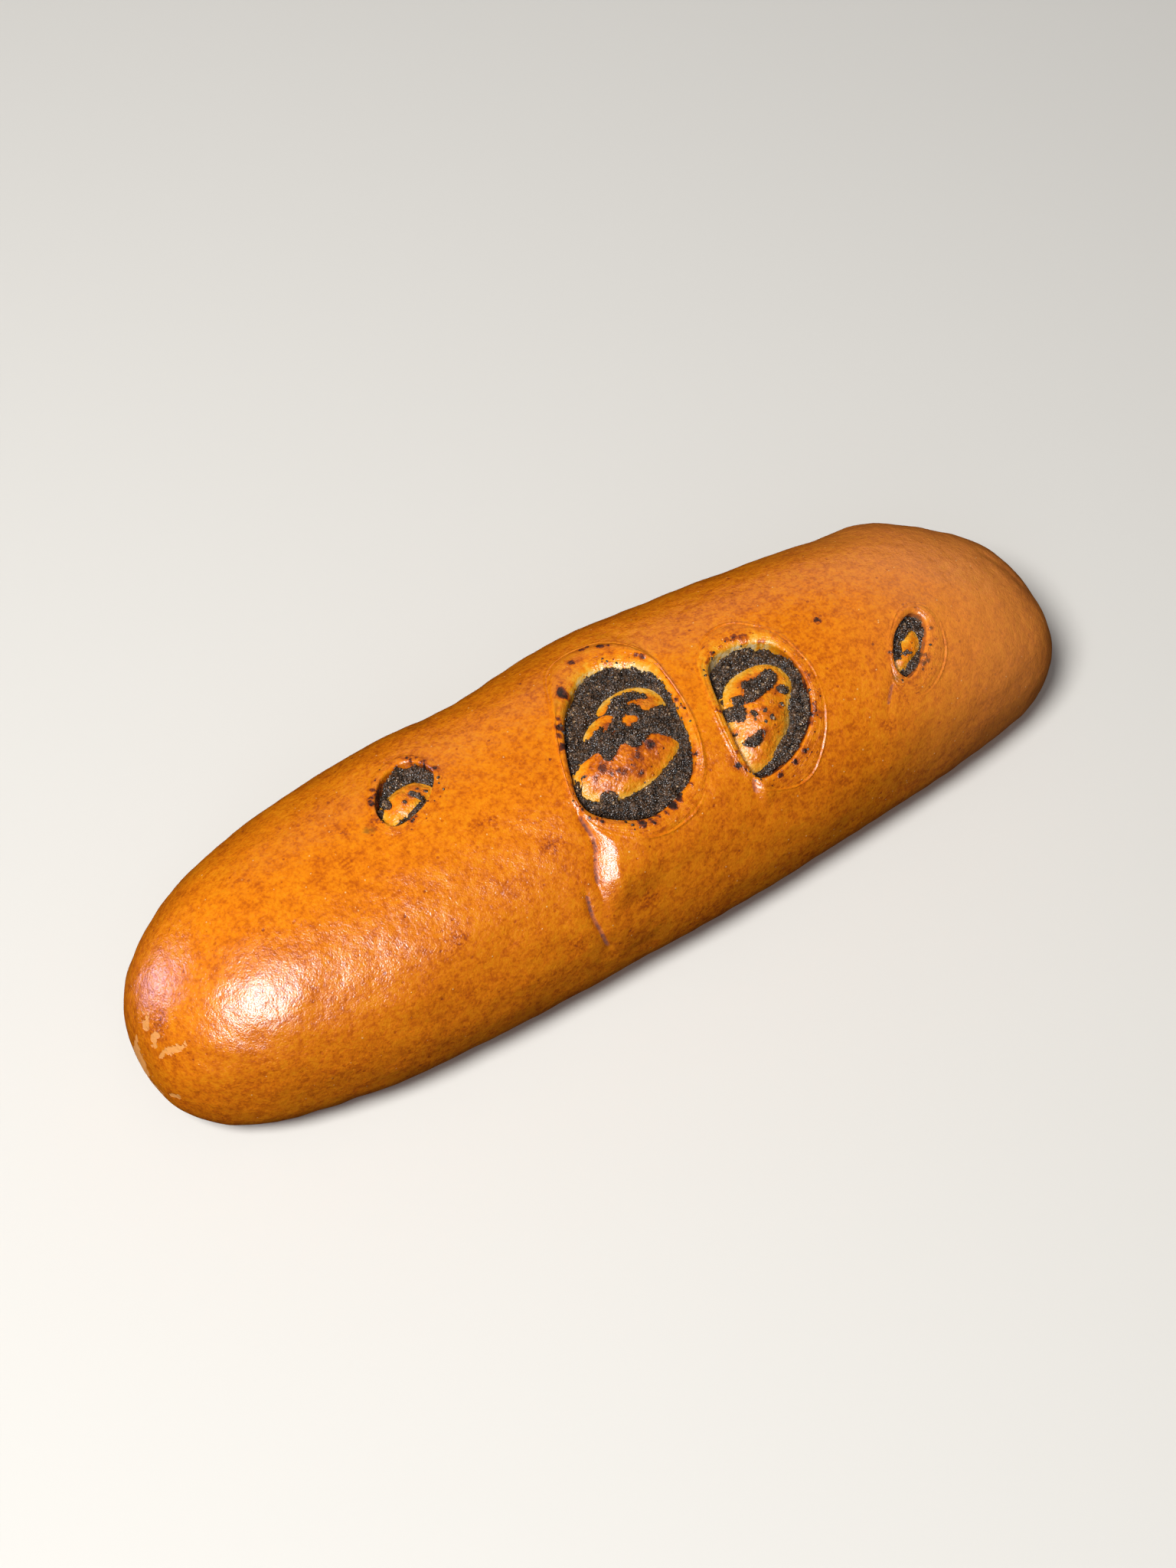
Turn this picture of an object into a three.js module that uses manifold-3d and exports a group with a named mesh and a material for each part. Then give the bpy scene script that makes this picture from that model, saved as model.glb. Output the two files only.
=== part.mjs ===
// Poppy seed strudel, a baked roll lying on its flat base.
// Millimetres, +Z up, +X along the roll, +Y to its far side, origin under the middle of the base.
//
// The roll has three layers: an outer turn of dough with a glazed crust, a layer of poppy seed
// filling under it, and an inner turn of dough. The crust has split in four places. In each split
// the filling shows as a dark hollow, and the inner dough stands up through it as a mound.
//
// Places on the crust are given as [x, s]: x along the roll, and s the distance walked over the
// crust from the ridge line, positive to the near side (-Y).
import * as THREE from 'three';
import { mergeVertices } from 'three/addons/utils/BufferGeometryUtils.js';
import Module from 'manifold-3d';

const wasm = await Module();
wasm.setup();

// ---- The roll's outline ----
const LENGTH = 270;
const HEIGHT = 55;
const ARCH = 3;                                    // how much lower the ridge line falls at the tips
const HALF_WIDTH = 42;
const BELLY = { out: 0.7, spread: 30 };            // slightly fuller in the middle
const TAPER = { by: 5.7, from: 20, to: 110 };      // slimmer towards the right end
const BEND = { left: -3.5, right: -6 };            // both tips lean to the near side
const CENTRE_LINE_Y = -0.8;
const TIP_HEIGHT = 14.5;                           // the tips are low, near the base
const SIDE_CAP = { left: 108, right: 81, powerLeft: 2.45, powerRight: 3 };
const TOP_CAP = { left: 40, right: 70, powerLeft: 2.1, powerRight: 2.1 };
const BASE_CAP = { left: 24, right: 24, powerLeft: 2.2, powerRight: 2.2 };
const CROWN_POWER = 2.1;                           // upper half of the section, nearly an ellipse
const BASE_POWER = 2.7;                            // lower half, squarer, cut flat by the base
const BASE_PRESS = 1.13;                           // how far the lower half would reach below 0
// Shoulders and waists on the far side, left to right.
const FAR_SWELLS = [
  { x: -26, out: -3.1, spread: 14 },
  { x: 12, out: 1.7, spread: 18 },
  { x: 75, out: 0.4, spread: 18 },
  { x: 104, out: 5.2, spread: 12 },
  { x: 123, out: -1.4, spread: 6 },
];

// ---- The layers ----
const GAP = 0.3;
const OUTER_DOUGH = 4.2;
const FILLING = 4.5;
const END_DOUGH = 9;                               // the ends are folded shut, so thicker
const FILLING_LEVEL = 3;                           // how deep the filling lies in a split
const FILLING_MARGIN = 0.6;                        // the filling's gap to the split's wall
const SMEAR = 1;                                   // thickness of filling smeared on a mound

// ---- Splits in the crust, left to right ----
// lip: radius of the rolled edge on the far side and on the near side.
// crown: how deep the mound's top lies under the crust.
const SPLITS = [
  {
    edge: [[-46, -17.8], [-42.2, -10], [-48.2, -2.8], [-57.6, -1], [-59.6, -7.5], [-54, -15.9]],
    mound: [[-57.8, -5.8], [-52.6, -10.4], [-47.2, -9.6], [-46.4, -6.8], [-51, -4.4], [-56.8, -2.8]],
    lip: { far: 1.8, near: 1.4 },
    crown: 2,
  },
  {
    edge: [[5.5, -15.4], [14.8, -11.4], [19.2, -3.6], [18.2, 8.5], [14.2, 22.4],
      [4.8, 27.6], [-4.5, 27.6], [-15.2, 19.6], [-13.4, 7.5], [-5.6, -7]],
    mound: [[-6.4, 1.9], [3, -4.2], [10.5, -5.5], [16.2, 1], [15.2, 13],
      [8, 19.2], [-2, 21.6], [-10.5, 19], [-12.8, 13]],
    smear: [[-12, 3.5], [-6, 3.2], [3.5, 2.7], [10, 1.5], [19, 2.5],
      [18.5, 13.5], [12, 11.8], [4, 10.4], [-5.2, 9], [-13.5, 7.5]],
    lip: { far: 3.8, near: 2 },
    crown: 1.4,
  },
  {
    edge: [[32.4, 0.2], [41.4, -1.3], [49.6, 3.2], [51.6, 13], [48.6, 23.5],
      [40.4, 31], [29.4, 33], [26.8, 25.5], [28.4, 11.5]],
    mound: [[31.8, 8], [38, 5.2], [45.6, 6.8], [48.2, 12], [44.4, 20],
      [38.6, 25.6], [31, 29.4], [28.8, 26], [29.8, 15.5]],
    smear: [[29.5, 11], [34.4, 12], [36.4, 8.9], [43.2, 8], [51, 9],
      [51, 11.5], [44.8, 12.4], [39.2, 14.2], [29, 14]],
    lip: { far: 2.8, near: 2.2 },
    crown: 1.5,
  },
  {
    edge: [[86.6, 10.2], [89.4, 13.4], [85.6, 20], [78.2, 25.9], [75.2, 22], [79.2, 14.4]],
    mound: [[84.6, 14.8], [85.4, 17], [81.5, 21.2], [77.4, 23.6], [77, 21.4], [80.2, 17]],
    lip: { far: 2.2, near: 2 },
    crown: 2.2,
  },
];
const LIP_PROUD = 0.8;                             // how far a rolled edge stands over the crust

// ---- Folds: ridges stand proud of the crust, creases are cut into it ----
const RIDGES = [
  { path: [[-14.6, 19], [-14.2, 27], [-15, 35], [-17, 44]], radius: 4, proud: 1.3 },
  { path: [[27.8, 31], [27.2, 34.5], [27.6, 38.5]], radius: 1.8, proud: 0.8 },
  { path: [[74.8, 23], [70.8, 27.5], [66.8, 36]], radius: 1.8, proud: 0.6 },
];
const CREASES = [
  { path: [[-16.2, 17.6], [-18.4, 22], [-18.4, 27], [-20.2, 33], [-21.8, 39.5]], radius: 2, deep: 1.7 },
  { path: [[-24.3, 36], [-25.2, 42.5], [-24.4, 49.5], [-22.3, 59.5]], radius: 1.8, deep: 1.1 },
  { path: [[13.2, -36], [17.8, -28], [21, -18.5], [21.8, -8], [21.6, 1]], radius: 1.6, deep: 0.7 },
];

// ---- Facets ----
const CRUST_FACETS = { stations: 48, around: 36 };
const LAYER_FACETS = { stations: 22, around: 20 };
const EDGE_POINTS = 24;
const SMALL_EDGE_POINTS = 14;
const SMALL_EDGE = 60;                             // a split with a shorter rim gets fewer points
const TUBE_SIDES = 8;
const MOUND_STEPS = 3;
const WALK_STEP = THREE.MathUtils.degToRad(0.5);

const COLOURS = { crust: 0xc46a1c, filling: 0x2b2320, innerDough: 0xd98f2e };

// A smooth hump of height 1 at x = centre.
function hump(x, centre, spread) {
  return Math.exp(-(((x - centre) / spread) ** 2));
}

// The cosine or sine of a superellipse.
function rounded(value, power) {
  return Math.sign(value) * Math.abs(value) ** (2 / power);
}

// 1 along the middle of the roll, falling to 0 at each tip over the cap's length.
function endCap(x, cap) {
  const length = x < 0 ? cap.left : cap.right;
  const power = x < 0 ? cap.powerLeft : cap.powerRight;
  const along = THREE.MathUtils.clamp((Math.abs(x) - LENGTH / 2 + length) / length, 0, 1);
  return Math.max(1 - along ** power, 0) ** (1 / power);
}

// The point on the roll's plain surface at x, with angle 0 on the far side and 90 degrees on top.
function rollPoint(x, angle) {
  const cosine = Math.cos(angle);
  const sine = Math.sin(angle);
  const power = sine > 0 ? CROWN_POWER : BASE_POWER;
  const taper = TAPER.by * THREE.MathUtils.smoothstep(x, TAPER.from, TAPER.to);
  let halfWidth = HALF_WIDTH + BELLY.out * hump(x, 0, BELLY.spread) - taper;
  if (cosine > 0) {
    for (const swell of FAR_SWELLS) {
      halfWidth += swell.out * hump(x, swell.x, swell.spread) * cosine ** 2;
    }
  }
  const lean = (x < 0 ? BEND.left : BEND.right) * (x / (LENGTH / 2)) ** 2;
  const arch = ARCH * (x / (LENGTH / 2)) ** 2;
  const rise = sine > 0
    ? (HEIGHT - arch - TIP_HEIGHT) * endCap(x, TOP_CAP)
    : TIP_HEIGHT * BASE_PRESS * endCap(x, BASE_CAP);
  return new THREE.Vector3(
    x,
    CENTRE_LINE_Y + lean + halfWidth * endCap(x, SIDE_CAP) * rounded(cosine, power),
    Math.max(TIP_HEIGHT + rise * rounded(sine, power), 0),
  );
}

// The angle at which the walk over the crust from the ridge line has the length |s|.
function angleOf(x, s) {
  const turn = Math.sign(s) * WALK_STEP;
  let angle = Math.PI / 2;
  let here = rollPoint(x, angle);
  let walked = 0;
  while (walked < Math.abs(s)) {
    angle += turn;
    const next = rollPoint(x, angle);
    walked += here.distanceTo(next);
    here = next;
  }
  return angle;
}

// The point at [x, s], sunk by depth along the crust's normal.
function place(x, s, depth) {
  const angle = angleOf(x, s);
  const alongRoll = rollPoint(x + 0.5, angle).sub(rollPoint(x - 0.5, angle));
  const roundRoll = rollPoint(x, angle + WALK_STEP).sub(rollPoint(x, angle - WALK_STEP));
  const outward = roundRoll.cross(alongRoll).normalize();
  return rollPoint(x, angle).addScaledVector(outward, -depth);
}

// ---- Solids ----

// A closed solid from points and triangles.
function solid(points, faces) {
  const build = (triangles) => new wasm.Manifold(new wasm.Mesh({
    numProp: 3,
    vertProperties: new Float32Array(points.flatMap((p) => p.toArray())),
    triVerts: new Uint32Array(triangles.flat()),
  }));
  const made = build(faces);
  return made.volume() > 0 ? made : build(faces.map(([a, b, c]) => [a, c, b]));
}

// A skin over a row of rings. The row closes on itself, or ends in a point at either end.
function skin(rings, tips) {
  const around = rings[0].length;
  const points = rings.flat();
  const faces = [];
  const spans = tips ? rings.length - 1 : rings.length;
  for (let i = 0; i < spans; i += 1) {
    for (let j = 0; j < around; j += 1) {
      const next = (i + 1) % rings.length;
      const a = i * around + j;
      const b = i * around + ((j + 1) % around);
      const c = next * around + j;
      const d = next * around + ((j + 1) % around);
      faces.push([a, b, c], [b, d, c]);
    }
  }
  if (tips) {
    const first = points.push(tips[0]) - 1;
    const last = points.push(tips[1]) - 1;
    const start = (rings.length - 1) * around;
    for (let j = 0; j < around; j += 1) {
      faces.push([(j + 1) % around, j, first], [start + j, start + ((j + 1) % around), last]);
    }
  }
  return solid(points, faces);
}

// The whole roll, made smaller by a depth at the sides, top and base, and another at the ends.
function roll(facets, depth, endDepth) {
  const shrink = new THREE.Vector3(
    1 - endDepth / (LENGTH / 2),
    1 - depth / HALF_WIDTH,
    1 - (2 * depth) / HEIGHT,
  );
  const middle = new THREE.Vector3(0, 0, HEIGHT / 2);
  const shrunk = (p) => p.sub(middle).multiply(shrink).add(middle);
  const rings = [];
  for (let i = 1; i < facets.stations; i += 1) {
    const x = (-LENGTH / 2) * Math.cos((Math.PI * i) / facets.stations);
    const ring = [];
    for (let j = 0; j < facets.around; j += 1) {
      ring.push(shrunk(rollPoint(x, (2 * Math.PI * j) / facets.around)));
    }
    rings.push(ring);
  }
  const tips = [-LENGTH / 2, LENGTH / 2].map((x) => shrunk(rollPoint(x, 0)));
  return skin(rings, tips);
}

// A smooth closed outline through a few places, as evenly spaced [x, s] pairs, grown outwards.
function outline(places, grow = 0) {
  const corners = places.map(([x, s]) => new THREE.Vector3(x, s, 0));
  const curve = new THREE.CatmullRomCurve3(corners, true, 'catmullrom', 0.5);
  const count = curve.getLength() < SMALL_EDGE ? SMALL_EDGE_POINTS : EDGE_POINTS;
  const points = curve.getSpacedPoints(count).slice(0, count);
  const clockwise = THREE.ShapeUtils.area(points) < 0 ? -1 : 1;
  return points.map((p, i) => {
    const along = points[(i + 1) % count].clone().sub(points[(i + count - 1) % count]).normalize();
    return [p.x + along.y * grow * clockwise, p.y - along.x * grow * clockwise];
  });
}

// The middle of an outline.
function middleOf(points) {
  const sum = points.reduce(([a, b], [x, s]) => [a + x, b + s], [0, 0]);
  return sum.map((value) => value / points.length);
}

// A plug set straight into the crust: an outline at a row of depths, each with its own scale.
function plug(points, layers) {
  const [middleX, middleS] = middleOf(points);
  const ringAt = ({ depth, scale = 1 }) => points.map(([x, s]) => place(
    middleX + (x - middleX) * scale,
    middleS + (s - middleS) * scale,
    depth,
  ));
  const tips = [layers[0], layers[layers.length - 1]].map(({ depth }) => place(middleX, middleS, depth));
  return skin(layers.map(ringAt), tips);
}

// A rounded mound that rises from the inner dough to its crown. grow is added on all sides.
function mound(split, grow) {
  const foot = OUTER_DOUGH + GAP + FILLING / 2;
  const crown = split.crown - grow;
  const layers = [{ depth: OUTER_DOUGH + FILLING + 4, scale: 1 }];
  for (let step = 0; step < MOUND_STEPS; step += 1) {
    const lift = (Math.PI / 2) * (step / MOUND_STEPS);
    layers.push({ depth: foot + (crown - foot) * Math.sin(lift), scale: Math.cos(lift) ** 0.7 });
  }
  layers.push({ depth: crown, scale: 0.2 });
  return plug(outline(split.mound, grow), layers);
}

// A round bar laid along the crust, tapering to a point at each end.
function bar(path, radius, depth) {
  const corners = path.map(([x, s]) => new THREE.Vector3(x, s, 0));
  const curve = new THREE.CatmullRomCurve3(corners, false, 'catmullrom', 0.5);
  const steps = Math.max(6, Math.round(curve.getLength() / radius));
  const rings = [];
  for (let i = 1; i < steps; i += 1) {
    const at = i / steps;
    const thickness = radius * Math.sqrt(Math.sin(Math.PI * at));
    const centre = curve.getPointAt(at);
    const along = curve.getTangentAt(at);
    rings.push(barRing(centre, along, thickness, depth + radius - thickness));
  }
  const tips = [corners[0], corners[corners.length - 1]].map((p) => place(p.x, p.y, depth + radius));
  return skin(rings, tips);
}

// One section of a bar: a circle across the bar's direction, standing on the crust's normal.
function barRing(centre, along, radius, depth) {
  const ring = [];
  for (let k = 0; k < TUBE_SIDES; k += 1) {
    const turn = (2 * Math.PI * k) / TUBE_SIDES;
    const aside = radius * Math.cos(turn);
    const down = depth - radius * Math.sin(turn);
    ring.push(place(centre.x + along.y * aside, centre.y - along.x * aside, down));
  }
  return ring;
}

// The rolled edge round a split: a bar that closes on itself, thicker on the far side.
function lip(split) {
  const edge = outline(split.edge);
  const [, middleS] = middleOf(edge);
  const reach = Math.max(...edge.map(([, s]) => Math.abs(s - middleS)));
  const radiusAt = ([, s]) => {
    const farness = (1 - (s - middleS) / reach) / 2;
    return THREE.MathUtils.lerp(split.lip.near, split.lip.far, THREE.MathUtils.clamp(farness, 0, 1));
  };
  const radii = edge.map(radiusAt);
  const mean = radii.reduce((a, b) => a + b) / radii.length;
  const line = outline(split.edge, mean);
  const count = line.length;
  const rings = line.map(([x, s], i) => {
    const [x0, s0] = line[(i + count - 1) % count];
    const [x1, s1] = line[(i + 1) % count];
    const along = new THREE.Vector2(x1 - x0, s1 - s0).normalize();
    return barRing(new THREE.Vector2(x, s), along, radii[i], radii[i] - LIP_PROUD);
  });
  return skin(rings, null);
}

// ---- The three layers ----
const layerInner = OUTER_DOUGH + FILLING;

function outerDough() {
  let dough = roll(CRUST_FACETS, 0, 0);
  for (const split of SPLITS) {
    dough = dough.add(lip(split));
  }
  for (const { path, radius, proud } of RIDGES) {
    dough = dough.add(bar(path, radius, radius - proud));
  }
  for (const { path, radius, deep } of CREASES) {
    dough = dough.subtract(bar(path, radius, deep - radius));
  }
  for (const split of SPLITS) {
    dough = dough.subtract(plug(outline(split.edge), [{ depth: -3 }, { depth: OUTER_DOUGH + 3 }]));
  }
  return dough.subtract(roll(LAYER_FACETS, OUTER_DOUGH, END_DOUGH));
}

function innerDough(grow) {
  const depth = layerInner + GAP - grow;
  let dough = roll(LAYER_FACETS, depth, END_DOUGH + FILLING + GAP - grow);
  for (const split of SPLITS) {
    dough = dough.add(mound(split, grow));
  }
  return dough;
}

function poppyFilling() {
  let filling = roll(LAYER_FACETS, OUTER_DOUGH + GAP, END_DOUGH + GAP);
  for (const split of SPLITS) {
    const inside = outline(split.edge, -FILLING_MARGIN);
    filling = filling.add(plug(inside, [{ depth: FILLING_LEVEL }, { depth: layerInner }]));
    if (split.smear) {
      const column = plug(outline(split.smear), [{ depth: -3 }, { depth: layerInner }]);
      filling = filling.add(mound(split, GAP + SMEAR).intersect(column));
    }
  }
  return filling.subtract(innerDough(GAP));
}

// A named mesh of a solid.
function node(name, shape, colour, roughness) {
  const { vertProperties, triVerts } = shape.getMesh();
  const geometry = new THREE.BufferGeometry();
  geometry.setAttribute('position', new THREE.BufferAttribute(vertProperties, 3));
  geometry.setIndex(new THREE.BufferAttribute(triVerts, 1));
  const material = new THREE.MeshStandardMaterial({ color: colour, roughness, metalness: 0 });
  const mesh = new THREE.Mesh(mergeVertices(geometry), material);
  mesh.name = name;
  return mesh;
}

const group = new THREE.Group();
group.add(node('outer_dough', outerDough(), COLOURS.crust, 0.35));
group.add(node('poppy_filling', poppyFilling(), COLOURS.filling, 0.7));
group.add(node('inner_dough', innerDough(0), COLOURS.innerDough, 0.45));

export default group;
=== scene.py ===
# %% [markdown]
# # A poppy seed strudel in Blender
#
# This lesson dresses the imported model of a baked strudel: a long roll of glazed dough, 270 mm from
# tip to tip. Four splits have torn open in its crust, and in each one the dark poppy seed filling
# and a mound of the inner dough show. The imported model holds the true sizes, so the first step
# loads it, and everything later is built around it.

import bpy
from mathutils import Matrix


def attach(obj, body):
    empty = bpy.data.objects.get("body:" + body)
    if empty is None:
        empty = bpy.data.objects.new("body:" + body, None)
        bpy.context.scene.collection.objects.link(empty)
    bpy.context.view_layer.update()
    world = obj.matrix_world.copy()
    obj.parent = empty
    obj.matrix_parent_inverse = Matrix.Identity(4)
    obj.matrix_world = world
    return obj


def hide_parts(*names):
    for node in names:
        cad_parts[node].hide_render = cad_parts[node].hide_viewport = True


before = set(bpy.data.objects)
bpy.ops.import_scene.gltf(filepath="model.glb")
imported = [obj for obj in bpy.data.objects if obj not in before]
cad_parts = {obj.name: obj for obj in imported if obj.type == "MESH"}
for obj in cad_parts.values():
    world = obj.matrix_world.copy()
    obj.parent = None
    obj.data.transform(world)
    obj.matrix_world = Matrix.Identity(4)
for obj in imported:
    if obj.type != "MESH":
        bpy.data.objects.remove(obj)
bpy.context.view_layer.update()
print("packed nodes:", sorted(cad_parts))

# %% Packages
import math

import bmesh
import bpy
import numpy as np
from mathutils import Matrix, Vector
from mathutils.geometry import delaunay_2d_cdt

MM = 0.001                     # Blender works in metres, this lesson in millimetres

# %% [markdown]
# ## The camera
#
# The strudel is seen from above its near left side. A camera is only a place and a direction, so
# both are worked out from two angles and a distance. The lens is given as the number of pixels
# that one radian covers at the middle of the picture, because that is how it was measured.

# %% Place the camera
PICTURE = (1536, 2048)
AZIMUTH = math.radians(-32.2)
ELEVATION = math.radians(58)
CAMERA_DISTANCE = 600          # mm, from the roll's middle
LENS_IN_PIXELS = 3042
ROLL_MIDDLE = Vector((0, -0.8, 27))
MIDDLE_PIXEL = (782, 1018)     # where the roll's middle falls in the picture

back = Vector((
    math.sin(AZIMUTH) * math.cos(ELEVATION),
    -math.cos(AZIMUTH) * math.cos(ELEVATION),
    math.sin(ELEVATION),
))
right = Vector((math.cos(AZIMUTH), math.sin(AZIMUTH), 0))
up = back.cross(right)
pixel_size = CAMERA_DISTANCE / LENS_IN_PIXELS
aside = (MIDDLE_PIXEL[0] - PICTURE[0] / 2) * pixel_size
below = (MIDDLE_PIXEL[1] - PICTURE[1] / 2) * pixel_size

camera_data = bpy.data.cameras.new("camera")
camera_data.sensor_width = 36
camera_data.lens = LENS_IN_PIXELS * 36 / PICTURE[1]
camera = bpy.data.objects.new("camera", camera_data)
camera.matrix_world = Matrix.Translation(
    (ROLL_MIDDLE + back * CAMERA_DISTANCE - right * aside + up * below) * MM
) @ Matrix((right, up, back)).transposed().to_4x4()
bpy.context.scene.collection.objects.link(camera)
bpy.context.scene.camera = camera
print("lens %.1f mm" % camera_data.lens)

# %% [markdown]
# ## The roll's surface
#
# The whole loaf is one smooth form: a rounded section that swells in the middle, tapers to the
# right and closes at both tips. A formula gives each point from two numbers, the place along the
# roll and the angle round it, and numpy evaluates it for thousands of points at once. The same
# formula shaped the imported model, so a skin made from it lies exactly where the solid is.

# %% The section and the tips
LENGTH, HEIGHT, HALF_WIDTH = 270, 55, 42
ARCH = 3                       # how much lower the ridge line falls at the tips
BELLY, BELLY_SPREAD = 0.7, 30
TAPER, TAPER_FROM, TAPER_TO = 5.7, 20, 110
BEND_LEFT, BEND_RIGHT = -3.5, -6
CENTRE_LINE_Y, TIP_HEIGHT = -0.8, 14.5
SIDE_CAP = (108, 81, 2.45, 3)  # length of the left and right cap, then their powers
TOP_CAP = (40, 70, 2.1, 2.1)
BASE_CAP = (24, 24, 2.2, 2.2)
CROWN_POWER, BASE_POWER, BASE_PRESS = 2.1, 2.7, 1.13
FAR_SWELLS = [(-26, -3.1, 14), (12, 1.7, 18), (75, 0.4, 18), (104, 5.2, 12), (123, -1.4, 6)]


def hump(x, centre, spread):
    return np.exp(-(((x - centre) / spread) ** 2))


def rounded(value, power):
    return np.sign(value) * np.abs(value) ** (2 / power)


def ease(value):
    """A smooth step from 0 to 1."""
    value = np.clip(value, 0, 1)
    return value * value * (3 - 2 * value)


def end_cap(x, cap):
    """1 along the middle, falling to 0 at each tip."""
    length = np.where(x < 0, cap[0], cap[1])
    power = np.where(x < 0, cap[2], cap[3])
    along = np.clip((np.abs(x) - LENGTH / 2 + length) / length, 0, 1)
    return np.maximum(1 - along ** power, 0) ** (1 / power)


def roll_point(x, angle):
    """The plain surface, with angle 0 on the far side and a quarter turn on top."""
    x, angle = np.broadcast_arrays(np.asarray(x, float), np.asarray(angle, float))
    cosine, sine = np.cos(angle), np.sin(angle)
    power = np.where(sine > 0, CROWN_POWER, BASE_POWER)
    half = HALF_WIDTH + BELLY * hump(x, 0, BELLY_SPREAD)
    half = half - TAPER * ease((x - TAPER_FROM) / (TAPER_TO - TAPER_FROM))
    for centre, out, spread in FAR_SWELLS:
        half = half + out * hump(x, centre, spread) * np.maximum(cosine, 0) ** 2
    end = (x / (LENGTH / 2)) ** 2
    lean = np.where(x < 0, BEND_LEFT, BEND_RIGHT) * end
    crown = (HEIGHT - ARCH * end - TIP_HEIGHT) * end_cap(x, TOP_CAP)
    rise = np.where(sine > 0, crown, TIP_HEIGHT * BASE_PRESS * end_cap(x, BASE_CAP))
    y = CENTRE_LINE_Y + lean + half * end_cap(x, SIDE_CAP) * rounded(cosine, power)
    z = np.maximum(TIP_HEIGHT + rise * rounded(sine, power), 0)
    return np.stack([x, y, z], -1)


def outward(x, angle):
    """The direction that points straight out of the plain surface."""
    along = roll_point(x + 0.5, angle) - roll_point(x - 0.5, angle)
    around = roll_point(x, angle + 0.009) - roll_point(x, angle - 0.009)
    normal = np.cross(around, along)
    return normal / np.maximum(np.linalg.norm(normal, axis=-1, keepdims=True), 1e-9)


print("middle of the ridge:", roll_point(0, math.pi / 2))

# %% [markdown]
# ## Places on the crust
#
# A baker would point at the crust and say "so far along, and so far down from the ridge". Splits,
# folds and spots are given that way here, as [x, s] in millimetres, with s walked over the crust
# from the ridge line and positive on the near side. Two tables hold that walk for the whole roll:
# one gives s for an angle, the other the angle for an s.

# %% Walk over the crust
TABLE_X = np.linspace(-LENGTH / 2, LENGTH / 2, 541)
TABLE_ANGLE = np.radians(np.linspace(-90, 270, 1441))
TABLE_S = np.linspace(-115, 115, 921)

sections = roll_point(TABLE_X[:, None], TABLE_ANGLE[None, :])
walked = np.cumsum(np.linalg.norm(np.diff(sections, axis=1), axis=2), axis=1)
walked = np.hstack([np.zeros((len(TABLE_X), 1)), walked])
walked -= walked[:, [len(TABLE_ANGLE) // 2]]
angles_of_walk = np.array([np.interp(TABLE_S, row, TABLE_ANGLE) for row in walked])


def look_up(table, rows, columns, x, across):
    """A value between the entries of a table."""
    i = np.clip((x - rows[0]) / (rows[1] - rows[0]), 0, len(rows) - 1.001)
    j = np.clip((across - columns[0]) / (columns[1] - columns[0]), 0, len(columns) - 1.001)
    i0, j0 = i.astype(int), j.astype(int)
    f, g = i - i0, j - j0
    near = table[i0, j0] * (1 - g) + table[i0, j0 + 1] * g
    far = table[i0 + 1, j0] * (1 - g) + table[i0 + 1, j0 + 1] * g
    return near * (1 - f) + far * f


def angle_of(x, s):
    return look_up(angles_of_walk, TABLE_X, TABLE_S, x, s)


def walk_of(x, angle):
    return look_up(walked, TABLE_X, TABLE_ANGLE, x, angle)


def place(x, s, depth):
    """The point at [x, s], sunk by a depth."""
    angle = angle_of(x, s)
    return roll_point(x, angle) - outward(x, angle) * np.asarray(depth)[..., None]


print("half way round the middle section: %.1f mm" % walked[len(TABLE_X) // 2, -1])

# %% [markdown]
# ## Lines and outlines
#
# Every tear, fold and mark follows a line on the crust. A few places are enough to describe one,
# because a smooth curve is drawn through them. What matters afterwards is always the same: how
# far any point of the skin is from that line, on which side, and how far along it.

# %% Smooth lines and distances
def smooth_line(corners, closed=True, fine=10):
    """A smooth line through a few places."""
    p = np.array(corners, float)
    if closed:
        p = np.vstack([p[-1], p, p[0], p[1]])
    else:
        p = np.vstack([2 * p[0] - p[1], p, 2 * p[-1] - p[-2]])
    t = np.linspace(0, 1, fine, endpoint=False)[:, None]
    parts = [
        0.5 * (2 * b + (c - a) * t + (2 * a - 5 * b + 4 * c - d) * t ** 2
               + (3 * b - a - 3 * c + d) * t ** 3)
        for a, b, c, d in zip(p, p[1:], p[2:], p[3:])
    ]
    line = np.vstack(parts)
    return line if closed else np.vstack([line, corners[-1]])


def along_and_aside(points, line):
    """For a line that runs down the crust: how far down it a point is, and how far to its right."""
    s = points[:, 1]
    t = (s - line[0, 1]) / (line[-1, 1] - line[0, 1])
    order = np.argsort(line[:, 1])
    lean = np.gradient(line[order, 0], line[order, 1])
    off = points[:, 0] - np.interp(s, line[order, 1], line[order, 0])
    return t, off / np.hypot(1, np.interp(s, line[order, 1], lean))


FAR_AWAY = 9.0                 # mm, the distance noted where a mark is too far off to matter


def distance_to(points, outline):
    """Millimetres to a closed outline, negative inside it, and FAR_AWAY where it is not near."""
    result = np.full(len(points), FAR_AWAY)
    low, high = outline.min(0) - FAR_AWAY, outline.max(0) + FAR_AWAY
    close = np.flatnonzero(((points > low) & (points < high)).all(1))
    p = points[close]
    start, end = outline, np.roll(outline, -1, 0)
    run = end - start
    gap = p[:, None] - start
    t = np.clip((gap * run).sum(-1) / (run ** 2).sum(-1), 0, 1)
    off = np.linalg.norm(gap - t[..., None] * run, axis=-1).min(1)
    crosses = (start[:, 1] > p[:, 1:]) != (end[:, 1] > p[:, 1:])
    climb = np.where(run[:, 1] == 0, 1e-9, run[:, 1])
    cut = start[:, 0] + (p[:, 1:] - start[:, 1]) * run[:, 0] / climb
    inside = ((p[:, :1] < cut) & crosses).sum(1) % 2 == 1
    result[close] = np.minimum(np.where(inside, -off, off), FAR_AWAY)
    return result


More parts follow.
